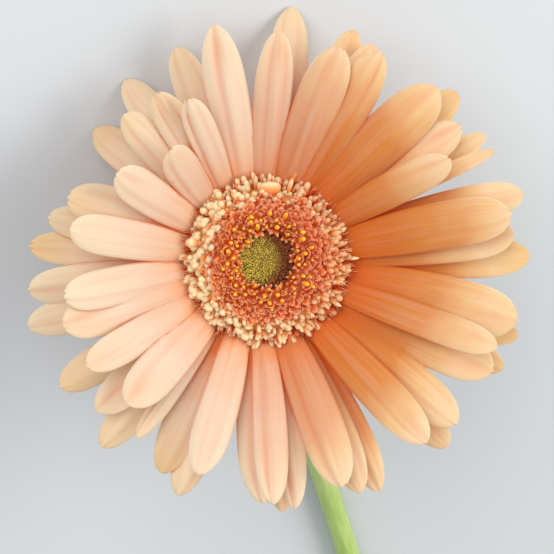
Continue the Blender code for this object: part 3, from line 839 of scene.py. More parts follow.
def bud_material(settings):
    """Closed buds: waxy and granular, green-yellow at their tips, darker between them as painted shade, and
    brown round the rim as young buds and painted shadow.
    """
    made, tree = new_material("Closed Buds")
    share, spread, tone, east = marks_of(tree, "share", "spread", "tone", "east")
    # Painted shadow: the brown of the rim reaches further in on the right, where the florets shade the button
    shadow_reach = calc(tree, "MULTIPLY_ADD", east, 0.7, 1.0)
    rim = ease(tree, calc(tree, "MULTIPLY", calc(tree, "SQRT", spread), shadow_reach), 0.35, 0.95)
    top = blend(tree, rim, settings.bud_green, settings.bud_brown)
    gap_shade = blend(tree, rim, "#8A7420", "#5A1E0A")
    height = calc(tree, "MULTIPLY_ADD", noise(tree, 0.5, 2.0), 0.4, share)
    mixed = blend(tree, remap(tree, height, (0.45, 1.05)), gap_shade, top)
    colour = scaled(tree, mixed, remap(tree, tone, new=(0.8, 1.15)))
    dress(tree, {"Base Color": colour, "Roughness": 0.5, "Specular IOR Level": 0.4})
    return made


# Ray petals


def ray_tip(bearing, reach, lift, root_height):
    """The tip's place in the head's frame, from where the eye meets it."""
    seen_x, seen_y = reach * cos(bearing), reach * sin(bearing)
    tip = Vector((seen_x, seen_y, 0))
    for _ in range(8):
        tip.z = root_height + tan(lift) * (math.hypot(tip.x, tip.y) - RAY_ROOT_RADIUS)
        shrink = 1 - tip.dot(TOWARD_EYE) / EYE_DISTANCE
        tip.x = (seen_x * shrink - tip.z * sin(EYE_TURN)) / cos(EYE_TURN)
        tip.y = seen_y * shrink
    return tip


def blade_outline(share, across, root, widest, blunt, cap, notch):
    """Where a point of a strap lies, as a share of its length and of its half width.

    root is the width at its root as a share of the greatest, which is at widest. Its end is pointed where
    blunt is 2 and squarer above. cap is how far its last edge is rounded and notch how deep its two
    notches are, as shares of its length.
    """
    if share < widest:
        half = root + (1 - root) * sin(pi / 2 * share / widest)
    else:
        half = sqrt(1 - (END_CURVE * (share - widest) / (1 - widest)) ** blunt)
    cut = cap * across**2 + notch * exp(-(((abs(across) - NOTCH_PLACE) / NOTCH_SPREAD) ** 2))
    return share * (1 - cut * share**3), half


def ray_surface(row, settings, draw):
    """Functions that give the middle surface of one ray, and how deep in a groove each place is."""
    bearing, reach, width, lift, whorl, roll, crown, sway = row
    lift = radians(lift)
    root_height = WHORLS[whorl][0]
    tip = ray_tip(radians(bearing), reach * MM, lift, root_height)
    outward = Vector((tip.x, tip.y, 0)).normalized()
    side = Vector((-outward.y, outward.x, 0))
    root = outward * RAY_ROOT_RADIUS + Vector((0, 0, root_height))
    chord = (tip - root).length
    along = (tip - root).normalized()
    up = along.cross(side)
    bow = min(RAY_BOW, RAY_STEEPEST - lift)
    half_width = width / 2 * MM
    notch = settings.notch * draw.uniform(0.0, 1.0) / chord
    # Rays at the sides of the head end more squarely than those above and below the disc
    blunt = 2.4 + 1.2 * cos(radians(bearing)) ** 2 + draw.uniform(-0.2, 0.4)
    sway = (sway + draw.uniform(-0.15, 0.15)) * MM
    turn_over = radians(roll + draw.uniform(-4, 4))
    # Ripples of its two edges: height, beat along it, and start
    ripple = [(draw.uniform(0.1, 0.3) * MM, draw.uniform(5, 9), draw.uniform(0, 2 * pi)) for _ in range(2)]
    # The folds of rays above and below the disc are deeper than those at its sides
    fold = settings.groove * (0.5 + 1.1 * sin(radians(bearing)) ** 6)
    # Lengthwise folds: place across, half width, depth, and the shares of the length where each grows
    folds = [
        (draw.uniform(-0.55, -0.28), draw.uniform(0.1, 0.22), fold * draw.uniform(0.3, 1.5), 0.0, 0.25),
        (draw.uniform(0.28, 0.55), draw.uniform(0.1, 0.22), fold * draw.uniform(0.3, 1.5), 0.0, 0.25),
        (draw.uniform(-0.12, 0.12), draw.uniform(0.08, 0.14), fold * draw.uniform(-0.3, 0.6), 0.1, 0.5),
        (draw.uniform(-0.2, 0.2), 0.24, settings.crease * draw.uniform(-0.4, 1.0), 0.6, 1.0),
    ]

    def groove(share, across):
        depth = sum(
            depth * exp(-(((across - centre) / spread) ** 2)) * smooth(share, low, high)
            for centre, spread, depth, low, high in folds
        )
        return depth * (0.8 + 0.7 * share) * (1 - 0.6 * smooth(share, 0.85, 1.0))

    def place(share, across):
        reached, half = blade_outline(share, across, 0.58, RAY_WIDEST, blunt, 0.02, notch)
        swing = (2 * reached - 1) * bow
        forward = chord * (sin(bow) + sin(swing)) / (2 * sin(bow))
        bulge = chord * (cos(swing) - cos(bow)) / (2 * sin(bow))
        station_up = up * cos(swing) + along * sin(swing)
        rise = crown * 2 * half_width * half * (1 - across**2) - groove(share, across)
        for number, (height, beat, start) in enumerate(ripple):
            edge = smooth(across if number else -across, 0.35, 1)
            rise += height * edge * sin(beat * share + start) * smooth(share, 0.1, 0.5)
        turn = turn_over * smooth(share, 0, 0.8)
        sideways = half_width * half * across
        flat = sideways * cos(turn) - rise * sin(turn) + sway * sin(pi * reached)
        high = sideways * sin(turn) + rise * cos(turn)
        return root + along * forward + up * bulge + side * flat + station_up * high

    return place, groove


def mark_shelter(shapes):
    """Marks how much each point of the rays' upper skins is covered by rays close above it."""
    points, faces = [], []
    for shape in shapes.values():
        start = len(points)
        points.extend(shape["points"])
        faces.extend(tuple(start + corner for corner in face) for face in shape["faces"])
    above = BVHTree.FromPolygons(points, faces)
    ways = []
    for tilt, count in CONTACT_WAYS:
        for k in range(count):
            turn = 2 * pi * (k + tilt / 90) / count
            flat = sin(radians(tilt))
            ways.append(Vector((flat * cos(turn), flat * sin(turn), cos(radians(tilt)))))
    for shape in shapes.values():
        found = []
        for point, back in zip(shape["points"], shape["marks"].pop("back")):
            cover = 0.0
            for way in [] if back else ways:
                distance = above.ray_cast(point + way * CONTACT_START, way, CONTACT_REACH)[3]
                if distance is not None:
                    cover += 1 - distance / CONTACT_REACH
            found.append(cover / len(ways))
        shape["marks"]["shelter"] = found


def make_rays(settings):
    """The ray petals, one piece for each whorl, and the collar that they grow from."""
    material = petal_material(settings)
    columns = [-c for c in reversed(RAY_COLUMNS[1:])] + list(RAY_COLUMNS)
    rows = [1 - (1 - k / RAY_ROWS) ** 1.6 for k in range(RAY_ROWS + 1)]
    grid = [(share, across) for share in rows for across in columns]
    draw = random.Random(8)
    shapes = {whorl: new_shape() for whorl in WHORLS}
    for row in RAYS:
        bearing, whorl = row[0], row[4]
        _, tip_tan, under_shade_share, speed = WHORLS[whorl]
        place, groove = ray_surface(row, settings, draw)
        # Painted light: rays right of the disc are painted warmest, for the glow and shade of light that
        # comes through them from behind, and those left of it palest, as lit from the front
        warmth_and_backlight = smooth(-bearing, -109, -49) if bearing > 0 else smooth(bearing, -108, -48)
        tone = 0.04 + 0.92 * warmth_and_backlight + draw.uniform(-0.08, 0.08)
        fade = tip_tan * draw.uniform(0.1, 1.15)
        # The tips of the rays below the disc are the creamiest
        if -112 < bearing < -30:
            fade *= 0.4
        pace = draw.uniform(0.9, 1.12) / (1 - under_shade_share) * speed
        marks = {
            "tone": tone,
            "tan": [fade * smooth(share, 0.6, 1.02) for share, _ in grid] * 2,
            "groove": [groove(share, across) / settings.groove for share, across in grid] * 2,
            # Painted shade: the part of a ray that lies under others keeps its root's orange, for the light
            # the rays above pass down
            "run": [max(0.0, (share - under_shade_share) * pace) for share, _ in grid] * 2,
            "ray": draw.uniform(0, 90),
            "back": [0.0] * len(grid) + [1.0] * len(grid),
        }
        add_blade(shapes[whorl], place, rows, columns, settings.thickness, marks)
    collar = ((13.9, -7.7), (17.5, -7.7), (17.5, -5.2), (15.6, -3.9), (13.9, -3.9), (13.9, -7.7))
    unmarked = dict.fromkeys(("across", "tan", "groove", "run", "ray", "back"), 0.0)
    add_turned(shapes["outer"], collar, 64, {**unmarked, "tone": 0.5})
    mark_shelter(shapes)
    for whorl, shape in shapes.items():
        add_piece("rays_" + whorl, shape, material, ["ray_petals"])


# Disc


def bent_line(lean, curl, length, bends=0.0):
    """A function that follows a line that bends over: how far away, how high and at what angle it is.

    lean and lean + curl are its angles from upright at its two ends, and bends is the share of its
    length where it starts to curl.
    """
    parts = 24
    spine = [(0.0, 0.0, lean)]
    for k in range(parts):
        angle = lean + curl * max(0.0, (k + 0.5) / parts - bends) / (1 - bends)
        away, high, _ = spine[-1]
        spine.append((away + sin(angle) * length / parts, high + cos(angle) * length / parts, angle))

    def follow(share):
        at = min(parts - 1e-6, max(0.0, share) * parts)
        start, end = spine[int(at)], spine[int(at) + 1]
        return tuple(a + (b - a) * (at - int(at)) for a, b in zip(start, end))

    return follow


def tab(facing, lean, curl, length, width, outline, crown=0.0, root=(0, 0, 0), bends=0.0):
    """A function that gives the middle surface of a small strap that bends over as it grows.

    facing is where it bends to, and lean and curl are in degrees. Its length, width and root are in mm.
    crown is how far its middle stands out behind it as a share of its width.
    """
    out = Vector((cos(facing), sin(facing), 0))
    side = Vector((-sin(facing), cos(facing), 0))
    upright = Vector((0, 0, 1))
    foot = Vector([mm(part) for part in root])
    follow = bent_line(radians(lean), radians(curl), mm(length), bends)

    def place(share, across):
        reached, half = blade_outline(share, across, *outline)
        away, high, angle = follow(reached)
        behind = out * cos(angle) - upright * sin(angle)
        point = foot + out * away + upright * high
        back = crown * half * (1 - across**2)
        return point - side * (mm(width) / 2 * half * across) + behind * (back * mm(width))

    return place


def add_club(shape, lean, curl, length, width, fold, fold_at, corners=10):
    """Adds a plump floret that is still closed: narrow at its foot, rounded at its end, folded on one side.

    lean and curl are in degrees and length and width in mm. fold is how deep its fold goes as a share of
    its radius, on the side at the angle fold_at.
    """
    follow = bent_line(radians(lean), radians(curl), mm(length))
    widest, flatness = 0.66, 0.85
    for share in (0.0, 0.28, 0.5, widest, 0.8, 0.9, 0.97):
        if share < widest:
            girth = 0.42 + 0.58 * sin(pi / 2 * share / widest)
        else:
            girth = sqrt(1 - ((share - widest) / 0.345) ** 2)
        away, high, angle = follow(share)
        ring = []
        for k in range(corners):
            a = 2 * pi * k / corners
            apart = math.remainder(a - fold_at, 2 * pi)
            dent = fold * exp(-((apart / 0.45) ** 2)) * smooth(share, 0.3, 0.8)
            radius = mm(width) / 2 * girth * (1 - dent)
            off = radius * cos(a) * flatness
            ring.append(Vector((away + off * cos(angle), radius * sin(a), high - off * sin(angle))))
        start = add_points(shape, ring, {"share": share})
        if not start:
            shape["faces"].append(tuple(reversed(range(corners))))
            continue
        for k in range(corners):
            a, b = start - corners + k, start - corners + (k + 1) % corners
            shape["faces"].append((a, b, b + corners, a + corners))
    away, high, _ = follow(1.0)
    end = add_points(shape, [Vector((away, 0, high))], {"share": 1.0})
    for k in range(corners):
        shape["faces"].append((end - corners + k, end - corners + (k + 1) % corners, end))


def even_steps(count):
    return [k / count for k in range(count + 1)]


def sides(count):
    return [2 * k / count - 1 for k in range(count + 1)]


def trans_shapes():
    """Ruffled florets: plump ones that are still closed, and finger-like ones that end in teeth."""
    plump, fingers = [], []
    for lean, curl, long, wide, fold, fold_at in (
        (-6, -20, 3.3, 2.0, 0.45, pi),
        (6, 14, 3.5, 1.7, 0.3, 2.0),
        (-4, -34, 3.1, 2.2, 0.55, 3.6),
        (2, 8, 3.6, 1.5, 0.25, 0.4),
        (-8, 0, 3.2, 1.9, 0.4, 2.6),
    ):
        shape = new_shape()
        add_club(shape, lean, curl, long, wide, fold, fold_at)
        plump.append(shape)
    for lean, curl, long, wide, notch in (
        (0, 24, 4.0, 1.1, 0.06),
        (4, -24, 3.7, 0.95, 0.1),
        (-4, 36, 4.3, 0.85, 0.03),
        (6, 10, 3.9, 1.2, 0.08),
        (-2, -46, 3.6, 1.0, 0.05),
    ):
        outline = (0.55, 0.66, 2.8, 0.05, notch)
        place = tab(0, lean, curl, long, wide, outline, -0.3, bends=0.3)
        shape = new_shape()
        add_blade(shape, place, (0, 0.4, 0.6, 0.75, 0.87, 0.95, 1.0), sides(6), 0.5 * MM, {})
        fingers.append(shape)
    return plump, fingers


# Florets of the collar that stand out from the rest: bearing in degrees and distance from the middle,
# height, where it bends to in degrees, lean and curl in degrees, length, width, and how much of a
# floret's colours it shows
ODD_FLORETS = (
    (88, 14.0, 0.2, 90, 50, 24, 3.6, 4.8, 0.95),
    (-95, 14.6, -0.8, -85, 66, 10, 2.8, 1.9, 0.8),
    (-82, 15.6, -1.9, -78, 72, -8, 4.2, 1.3, 1.0),
    (73, 15.8, -1.6, 66, 66, -6, 5.0, 0.9, 0.4),
    (1, 16.0, -1.9, 2, 62, 10, 4.9, 0.8, 1.0),
    (20, 15.4, -1.2, 30, 62, 20, 3.8, 1.0, 1.0),
    (-32, 15.5, -1.4, -30, 64, 14, 4.2, 0.9, 1.0),
    (166, 15.2, -0.4, 176, 50, 20, 3.3, 2.0, 1.1),
)


def add_ring(name, nodes, material, ring, shapes, left_shapes=None):
    """Grows a ring of florets in golden-angle order, and shows it as a piece.

    ring is their count, then pairs for its inner and outer edges, of radius and height in mm, lean in
    degrees and size, then how far they stray, and the seed of all that is random.
    """
    count, radii, heights, leans, sizes, scatter, seed = ring
    values = {"Count": count, "Scatter": scatter, "Seed": seed, "Material": material}
    for what, pair, unit in (
        ("Radius", radii, mm),
        ("Height", heights, mm),
        ("Lean", leans, radians),
        ("Size", sizes, float),
    ):
        values["Inner " + what], values["Outer " + what] = map(unit, pair)
    sets = [shape_set(name, chosen) for chosen in (left_shapes or shapes, shapes)]
    tree = bpy.data.node_groups.get("Golden Angle Florets") or spiral_tree()
    mesh = grow(tree, {**values, "Left Shapes": sets[0], "Right Shapes": sets[1]})
    for group in sets:
        remove_set(group)
    add_piece(name, mesh, material, nodes)


def make_trans_florets(settings):
    """The ruffled collar of cream-tipped florets round the disc, and the bed that they crowd on."""
    # Floret tissue: waxy and bulging, orange at the root, partly its own colour and partly painted shade in
    # the recesses between florets, and cream at the tip
    root = ((0.0, "#F4681A"), (0.35, "#FFA04E"))
    material = tissue_material(
        "Trans Floret",
        (*root, (0.58, settings.peach), (0.8, settings.cream), (1.0, "#FFF2C8")),
        "#FFC684",
        roughness=0.45,
        grain=0.6,
        glow=0.36,
        rim="#FFF4C8",
        rim_weight=0.35,
        # Painted light: florets right of the disc are painted a deeper orange, for the glow of light from
        # behind them
        east=("#F08A30", 0.45),
    )
    plump, fingers = trans_shapes()
    fingers.append(plump[1])
    ring = (settings.trans_count, (12.9, 15.7), (-1.3, -2.3), (8, 70), (0.9, 1.0), 0.26, 4)
    add_ring("trans_florets_ruffle", ["trans_florets"], material, ring, fingers, plump)
    odd = new_shape()
    rows, columns = even_steps(8), sides(6)
    for bearing, away, height, facing, lean, curl, long, wide, shown in ODD_FLORETS:
        turn = radians(bearing)
        root = (away * cos(turn), away * sin(turn), height)
        place = tab(radians(facing), lean, curl, long, wide, (0.5, 0.6, 2.6, 0.04, 0.03), -0.14, root)
        shares = [shown * share for share in rows for _ in columns] * 2
        add_blade(odd, place, rows, columns, mm(0.4), {"share": shares, "tone": 0.6})
    foot = ((12.3, -3.7), (17.2, -3.7), (17.2, -3.0))
    bed = (*foot, (16.2, -1.6), (15.0, -0.3), (13.6, 0.5), (12.3, 0.5), foot[0])
    add_turned(odd, bed, 96, {"share": 0.42, "across": 0.0, "tone": 0.8})
    add_piece("trans_florets_odd", odd, material, ["trans_florets"])


def open_floret(number):
    """Lobes of an open disc floret: a cupped, toothed fan outside and two small tabs inside."""
    shape = new_shape()
    fan = (0.45, 0.75, 4.5, 0.03, 0.1)
    outer = tab(0, 14 + 5 * number, 34 + 8 * number, 2.9, 2.1, fan, 0.3, (0.2, 0, -0.7))
    add_blade(shape, outer, even_steps(5), sides(6), mm(0.26), {})
    for facing in (pi - 0.55, pi + 0.6):
        root = (-0.3, 0.25 * sin(facing), -0.7)
        inner = tab(facing, 8, 50 + 12 * number, 2.2, 0.85, (0.8, 0.6, 4, 0.03, 0), 0.1, root)
        add_blade(shape, inner, even_steps(3), sides(2), mm(0.24), {})
    return shape


def red_floret(number):
    """Lobes of a younger floret of the coral ring: a small fan and three narrow lobes, crowded."""
    shape = new_shape()
    for facing, lean, curl, long, wide, blunt in (
        (0.0, 10, 44 + 9 * number, 2.7, 1.45, 3.4),
        (1.15, 8, 42, 2.3, 0.8, 2.6),
        (-1.1, 12, 50, 2.4, 0.75, 2.6),
        (2.9, 4, 36 + 8 * number, 1.9, 0.8, 2.6),
    ):
        outline = (0.5, 0.62, blunt, 0.03, 0.07 if facing == 0 else 0)
        root = (0.3 * cos(facing), 0.3 * sin(facing), -0.7)
        place = tab(facing, lean, curl, long, wide, outline, 0.22, root)
        add_blade(shape, place, even_steps(4), sides(4 if facing == 0 else 2), mm(0.24), {})
    return shape


def anther_shape(number):
    """The joined anthers of a floret: a blunt ovoid that leans a little."""
    shape = new_shape()
    profile = ((0, -0.3), (0.28, -0.2), (0.37, 0.5), (0.47, 1.1), (0.43, 1.7), (0.24, 2.06), (0, 2.14))
    scale, lean = ((1.0, 0.5), (0.86, -0.3), (1.1, 0.2))[number]
    add_turned(shape, [(r * scale, z * scale) for r, z in profile], 8, {})
    for point in shape["points"]:
        point.x += lean * point.z
    return shape


def make_disc_florets(settings):
    """The open florets, their anthers, and the crowded coral ring."""
    # Floret tissue: soft and matt, deep red in the throat, partly its own colour and partly painted shade,
    # and paler coral to its thin rims
    lobes = tissue_material(
        "Coral Floret",
        ((0.0, settings.deep_red), (0.3, "#E0601C"), (0.62, settings.coral), (0.95, "#FFC89C")),
        "#FFA058",
        grain=0.7,
        glow=0.4,
        rim="#FFC8A0",
        rim_weight=0.5,
        # Painted light: lobes left of the disc are painted lighter, as lit, and those right of it deeper red,
        # as shaded
        west=("#F6A23E", 0.35),
        east=("#DC5A1C", 0.25),
    )
    # Pollen-dusted anthers: dull and granular, orange below and yellow on top
    pollen = tissue_material(
        "Pollen",
        ((0.0, "#D05A10"), (0.4, "#F09420"), (0.75, settings.anther), (1.0, "#FFDC70")),
        "#FFB030",
        roughness=0.75,
        grain=0.25,
        glow=0.2,
    )
    open_ring = (settings.open_count, (6.3, 10.2), (0.6, 1.2), (-14, 4), (0.95, 1.08), 0.22, 21)
    red_ring = (settings.red_count, (9.2, 13.7), (1.2, 0.6), (0, 22), (1.0, 0.95), 0.3, 33)
    for name, ring, shape_of, material in (
        ("disc_florets_open", open_ring, open_floret, lobes),
        ("disc_florets_red", red_ring, red_floret, lobes),
        ("anthers", open_ring, anther_shape, pollen),
    ):
        shapes = [shape_of(number) for number in range(3)]
        add_ring(name, ["disc_florets"], material, ring, shapes)
    foot = ((6.2, -3.7), (13.4, -3.7), (13.4, 0.4))
    bed = new_shape()
    profile = (*foot, (12.4, 1.1), (10.0, 1.5), (7.6, 0.9), (6.2, -0.4), foot[0])
    add_turned(bed, profile, 64, {"share": 0.2, "tone": 0.6})
    add_piece("disc_florets_bed", bed, lobes, ["disc_florets"])


def make_buds(settings):
    """The button of unopened buds, smallest in its middle, and the dome that they stand on."""
    material = bud_material(settings)
    profile = ((0, -0.9), (0.75, -0.6), (1.0, 0.0), (0.8, 0.5), (0.35, 0.85), (0, 0.95))
    bud = new_shape()
    add_turned(bud, [(r * 0.33, z * 0.34) for r, z in profile], 6, {})
    ring = (settings.bud_count, (0.0, 6.5), (0.5, -0.6), (0.0, 14), (0.8, 1.25), 0.12, 2)
    add_ring("disc_buds_button", ["disc_buds"], material, ring, [bud])
    dome = ((0, -3.7), (6.4, -3.7), (6.4, -1.0), (4.5, -0.2), (2.2, 0.3), (0, 0.5))
    base = new_shape()
    add_turned(base, dome, 48, {"share": 0.35, "spread": 0.45, "tone": 0.6, "east": 0.0})
    add_piece("disc_buds_base", base, material, ["disc_buds"])


def hair_shape(length, thick, bend):
    """A fine three-sided hair that bends towards +X."""
    shape = new_shape()
    for share in (0.0, 0.4, 0.75):
        middle = Vector((bend * share**2, 0, length * share))
        radius = thick * (1 - 0.8 * share)
        corners = [middle + Vector((cos(a), sin(a), 0)) * radius for a in (0, 2.1, 4.2)]
        add_points(shape, corners, {"share": share})
    tip = add_points(shape, [Vector((bend, 0, length))], {"share": 1.0})
    for a, b in ((0, 1), (1, 2), (2, 0)):
        for start in (0, 3):
            shape["faces"].append((start + a, start + b, start + 3 + b, start + 3 + a))
        shape["faces"].append((6 + a, 6 + b, tip))
    shape["faces"].append((2, 1, 0))
    return shape


def make_pappus(settings):
    """Fine bristles between the outer florets and over the roots of the rays."""
    # Pappus: thin bristles, red-orange where they bunch and cream at their ends
    material = tissue_material(
        "Pappus Bristle",
        ((0.0, "#D8400C"), (0.6, "#EC5E18"), (0.85, "#FBC890"), (1.0, "#FFF0D8")),
        "#FF9050",
        grain=1.5,
    )
    forms = ((3.0, 0.5), (2.3, -0.4), (3.5, 0.2))
    bristles = [hair_shape(mm(long), mm(0.2), mm(bend)) for long, bend in forms]
    ring = (settings.pappus_count, (15.4, 16.8), (-0.9, -2.1), (50, 68), (1.1, 1.1), 0.4, 40)
    add_ring("pappus_bristles", [], material, ring, bristles)


# Green parts


def cup_point(place):
    """Point and outward direction on the cup's outer profile, by the share of its length."""
    points = [Vector((mm(r), mm(z))) for r, z in CUP_PROFILE]
    lengths = [(b - a).length for a, b in zip(points, points[1:])]
    left = place * sum(lengths)
    for k, length in enumerate(lengths):
        if left <= length or k == len(lengths) - 1:
            along = (points[k + 1] - points[k]) / length
            return points[k] + along * left, Vector((along.y, -along.x))
        left -= length


def bract_surface(start, end, width, spare):
    """A function that gives the middle surface of a bract that clasps the cup."""

    def place(share, across):
        reached, half = blade_outline(share, across, 0.8, 0.3, 0.1, 0.03, 0.0)
        point, out = cup_point(start + (end - start) * reached)
        off = (0.25 + 0.55 * reached**2 + spare * reached**3 - 0.5 * across**2) * MM
        turn = width / 2 * MM * half * across / max(point.x, 4 * MM)
        radius = point.x + out.x * off
        return Vector((radius * cos(turn), -radius * sin(turn), point.y + out.y * off))

    return place


def make_involucre(settings):
    """The receptacle and the rows of green bracts that clasp it."""
    # Bract: leafy and matt, palest at its root and brown at its tip
    material = tissue_material(
        "Green Bract",
        ((0.0, "#7E9A4C"), (0.35, settings.bract), (0.8, "#54702F"), (1.0, "#8C6A3C")),
        settings.bract_edge,
        roughness=0.6,
        glow=0.12,
    )
    tree = row_tree()
    for number, (count, start, end, width) in enumerate(BRACT_ROWS):
        shapes = []
        for spare in (0.1, 0.5, 0.9):
            shape = new_shape()
            place = bract_surface(start, end, width, spare)
            add_blade(shape, place, even_steps(14), sides(6), mm(0.5), {})
            shapes.append(shape)
        group = shape_set("bracts", shapes)
        values = {"Count": count, "First Turn": pi * number / count, "Scatter": 0.035, "Seed": number}
        mesh = grow(tree, {**values, "Shapes": group, "Material": material})
        remove_set(group)
        add_piece(f"bracts_row_{number + 1}", mesh, material, ["involucre"])
    cup = new_shape()
    add_turned(cup, ((0, -19.2), *CUP_PROFILE, *CUP_INSIDE), 56, {"tone": 0.4})
    add_piece("receptacle", cup, material, ["involucre"])


def bezier(a, b, c, d, share):
    rest = 1 - share
    return a * rest**3 + b * (3 * rest**2 * share) + c * (3 * rest * share**2) + d * share**3


def stem_radius(share):
    slim = STEM_RADIUS_CUT + (STEM_RADIUS_TOP - STEM_RADIUS_CUT) * min(1, share * 1.3)
    return slim + max(0, (share - 0.93) / 0.07) * STEM_SWELL


def stem_line():
    """Points along the stem, with the radius at each: lying, rising a little, then bent into the head."""
    home = Vector((HEAD_PLACE[0], HEAD_PLACE[1], 0))
    placed = Matrix.Translation(-home) @ head_matrix()
    axis = (placed.to_3x3() @ Vector((0, 0, 1))).normalized()
    top = placed @ Vector((0, 0, NECK_BOTTOM))
    parts, lying_share, rising_share = 26, 9 / 26, 16 / 26
    cut = Vector((STEM_SWAY, -STEM_LENGTH, stem_radius(0)))
    lying = Vector((STEM_SWAY * 1.4, -STEM_LENGTH * 0.45, stem_radius(lying_share)))
    bend = Vector((STEM_SWAY * 0.9, top.y - 30 * MM, STEM_RADIUS_CUT + 1.0 * MM))
    middle = (lying + bend) / 2
    middle.z = lying.z
    before_bend = bend + Vector((0, 13 * MM, 0.5 * MM))
    line = []
    for k in range(6 * parts + 1):
        share = k / (6 * parts)
        if share < lying_share:
            point = cut.lerp(lying, share / lying_share)
            point.z = stem_radius(share)
        elif share < rising_share:
            part = (share - lying_share) / (rising_share - lying_share)
            point = bezier(lying, middle, middle, bend, part)
        else:
            part = (share - rising_share) / (1 - rising_share)
            point = bezier(bend, before_bend, top - axis * 11 * MM, top, part)
        line.append((point + home, stem_radius(share)))
    return line


def make_stem(settings):
    """The leafless stem, ribbed and downy, and its fine hairs."""
    line = stem_line()
    path = bpy.data.meshes.new("stem_path")
    path.from_pydata([tuple(point) for point, _ in line], [(k, k + 1) for k in range(len(line) - 1)], [])
    path.attributes.new("girth", "FLOAT", "POINT").data.foreach_set("value", [r for _, r in line])
    green = stem_material(settings)
    values = {"Sides": 40, "Ribs": 9.0, "Rib Height": 0.016, "Material": green}
    tube = grow(stem_tree(), values, start=path)
    tube.shade_smooth()
    # Down: fine pale hairs, thicker than life so that they show at the stem's edges
    pale = tissue_material(
        "Stem Down", ((0.0, "#C6D394"), (1.0, "#F1F3DA")), "#E6EDC0", roughness=0.4, grain=1.0, glow=0.4
    )
    hairs = shape_set("hairs", [hair_shape(settings.down, mm(0.03), mm(0.2))])
    values = {"Density": DOWN_DENSITY, "Seed": 6, "Shapes": hairs, "Material": pale}
    down = grow(down_tree(), values, start=tube.copy())
    remove_set(hairs)
    add_piece("stem_tube", tube, green, ["stem"], in_head=False)
    add_piece("stem_down", down, pale, [], in_head=False)


# Stage


def add_light(name, size, power, colour, middle, aim, distance):
    """A soft round light that looks at a point, from a way and a distance, unseen by the camera."""
    light = bpy.data.lights.new(name, "AREA")
    light.shape = "DISK"
    light.size = size
    light.energy = power
    light.color = linear(colour)
    lamp = bpy.data.objects.new(name, light)
    lamp.location = middle + aim * distance
    lamp.rotation_mode = "QUATERNION"
    lamp.rotation_quaternion = aim.to_track_quat("Z", "Y")
    lamp.visible_camera = False
    bpy.context.scene.collection.objects.link(lamp)


def make_stage(settings):
    """The pale floor, the low soft light from the right, its fill, and the camera."""
    scene = bpy.context.scene
    low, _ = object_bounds()
    height = min(0.0, low.z) - mm(0.1)
    mesh = bpy.data.meshes.new("floor")
    corners = [(x * FLOOR_REACH, y * FLOOR_REACH, height) for x, y in ((-1, -1), (1, -1), (1, 1), (-1, 1))]
    mesh.from_pydata(corners, [], [(0, 1, 2, 3)])
    mesh.materials.append(floor_material(settings))
    floor = bpy.data.objects.new("floor", mesh)
    scene.collection.objects.link(floor)
    floor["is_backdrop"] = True

    placed = head_matrix()
    right = Vector((cos(EYE_TURN), 0, sin(EYE_TURN)))
    up = Vector((0, 1, 0))
    for name, way, distance, size, power, colour in (
        ("key", right + TOWARD_EYE * 0.42, 0.9, 0.75, settings.key_power, "#FFFAEE"),
        ("fill", TOWARD_EYE - right * 0.3 + up * 0.25, 1.2, 1.0, settings.fill_power, "#FFFEFA"),
    ):
        aim = (placed.to_3x3() @ way).normalized()
        add_light(name, size, power, colour, placed.translation, aim, distance)

    world = bpy.data.worlds.new("Room")
    world.use_nodes = True
    room = world.node_tree.nodes["Background"]
    room.inputs["Color"].default_value = (*linear("#FBFBFB"), 1)
    room.inputs["Strength"].default_value = settings.sky
    scene.world = world
    scene.view_settings.view_transform = "Standard"

    camera = bpy.data.cameras.new("camera")
    camera.sensor_width = SENSOR
    camera.lens = SENSOR * EYE_DISTANCE / SEEN_ACROSS
    camera.clip_start = 0.01
    eye = bpy.data.objects.new("camera", camera)
    local = Matrix((right, up, TOWARD_EYE)).transposed().to_4x4()
    local.translation = TOWARD_EYE * EYE_DISTANCE + right * EYE_RIGHT - up * EYE_DOWN
    eye.matrix_world = placed @ local
    scene.collection.objects.link(eye)
    scene.camera = eye


# Add-on


class PieceMaker:
    """What the operators share: each makes its pieces from one group of settings."""

    def execute(self, context):
        self.make(getattr(context.scene, self.settings))
        return {"FINISHED"}


class GERBERA_OT_rays(PieceMaker, bpy.types.Operator):
    """Makes the ray petals in three whorls"""

    bl_idname = "gerbera.rays"
    bl_label = "Ray Petals"
    make = staticmethod(make_rays)
    settings = "gerbera_rays"


class GERBERA_OT_trans_florets(PieceMaker, bpy.types.Operator):
    """Makes the ruffled florets round the disc"""

    bl_idname = "gerbera.trans_florets"
    bl_label = "Trans Florets"
    make = staticmethod(make_trans_florets)
    settings = "gerbera_disc"


class GERBERA_OT_disc_florets(PieceMaker, bpy.types.Operator):
    """Makes the disc florets and their anthers"""

    bl_idname = "gerbera.disc_florets"
    bl_label = "Disc Florets"
    make = staticmethod(make_disc_florets)
    settings = "gerbera_disc"


class GERBERA_OT_buds(PieceMaker, bpy.types.Operator):
    """Makes the button of unopened buds"""

    bl_idname = "gerbera.buds"
    bl_label = "Buds"
    make = staticmethod(make_buds)
    settings = "gerbera_disc"


class GERBERA_OT_pappus(PieceMaker, bpy.types.Operator):
    """Makes the bristles between the outer florets"""

    bl_idname = "gerbera.pappus"
    bl_label = "Pappus"
    make = staticmethod(make_pappus)
    settings = "gerbera_disc"


class GERBERA_OT_involucre(PieceMaker, bpy.types.Operator):
    """Makes the receptacle and its bracts"""

    bl_idname = "gerbera.involucre"
    bl_label = "Involucre"
    make = staticmethod(make_involucre)
    settings = "gerbera_green"


class GERBERA_OT_stem(PieceMaker, bpy.types.Operator):
    """Makes the stem and its down"""

    bl_idname = "gerbera.stem"
    bl_label = "Stem"
    make = staticmethod(make_stem)
    settings = "gerbera_green"


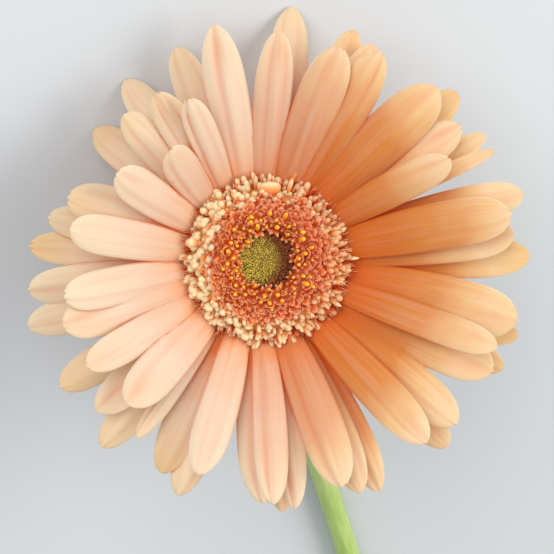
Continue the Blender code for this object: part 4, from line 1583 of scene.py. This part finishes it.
class GERBERA_OT_stage(PieceMaker, bpy.types.Operator):
    """Makes the floor, the lights and the camera"""

    bl_idname = "gerbera.stage"
    bl_label = "Stage"
    make = staticmethod(make_stage)
    settings = "gerbera_stage"


OPERATORS = (
    GERBERA_OT_rays,
    GERBERA_OT_trans_florets,
    GERBERA_OT_disc_florets,
    GERBERA_OT_buds,
    GERBERA_OT_pappus,
    GERBERA_OT_involucre,
    GERBERA_OT_stem,
    GERBERA_OT_stage,
)
GROUPS = {
    "gerbera_rays": RaySettings,
    "gerbera_disc": DiscSettings,
    "gerbera_green": GreenSettings,
    "gerbera_stage": StageSettings,
}


class GERBERA_PT_flower(bpy.types.Panel):
    bl_idname = "GERBERA_PT_flower"
    bl_label = "Gerbera"
    bl_space_type = "VIEW_3D"
    bl_region_type = "UI"
    bl_category = "Gerbera"

    def draw(self, context):
        for name, group in GROUPS.items():
            box = self.layout.box()
            settings = getattr(context.scene, name)
            for field in group.__annotations__:
                box.prop(settings, field)
        for operator in OPERATORS:
            self.layout.operator(operator.bl_idname)


def register():
    for kind in (*GROUPS.values(), *OPERATORS, GERBERA_PT_flower):
        bpy.utils.register_class(kind)
    for name, group in GROUPS.items():
        setattr(bpy.types.Scene, name, bpy.props.PointerProperty(type=group))


def unregister():
    for name in GROUPS:
        delattr(bpy.types.Scene, name)
    for kind in (GERBERA_PT_flower, *reversed(OPERATORS), *reversed(tuple(GROUPS.values()))):
        bpy.utils.unregister_class(kind)


def remove_strangers():
    """Takes out what a new file holds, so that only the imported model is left."""
    ours = set(frame["nodes"].values()) | set(frame["bodies"].values())
    for thing in list(bpy.data.objects):
        if thing not in ours:
            bpy.data.objects.remove(thing, do_unlink=True)


def main():
    remove_strangers()
    register()
    bpy.ops.gerbera.rays()
    bpy.ops.gerbera.trans_florets()
    bpy.ops.gerbera.disc_florets()
    bpy.ops.gerbera.buds()
    bpy.ops.gerbera.pappus()
    bpy.ops.gerbera.involucre()
    bpy.ops.gerbera.stem()
    bpy.ops.gerbera.stage()


if __name__ == "__main__":
    main()
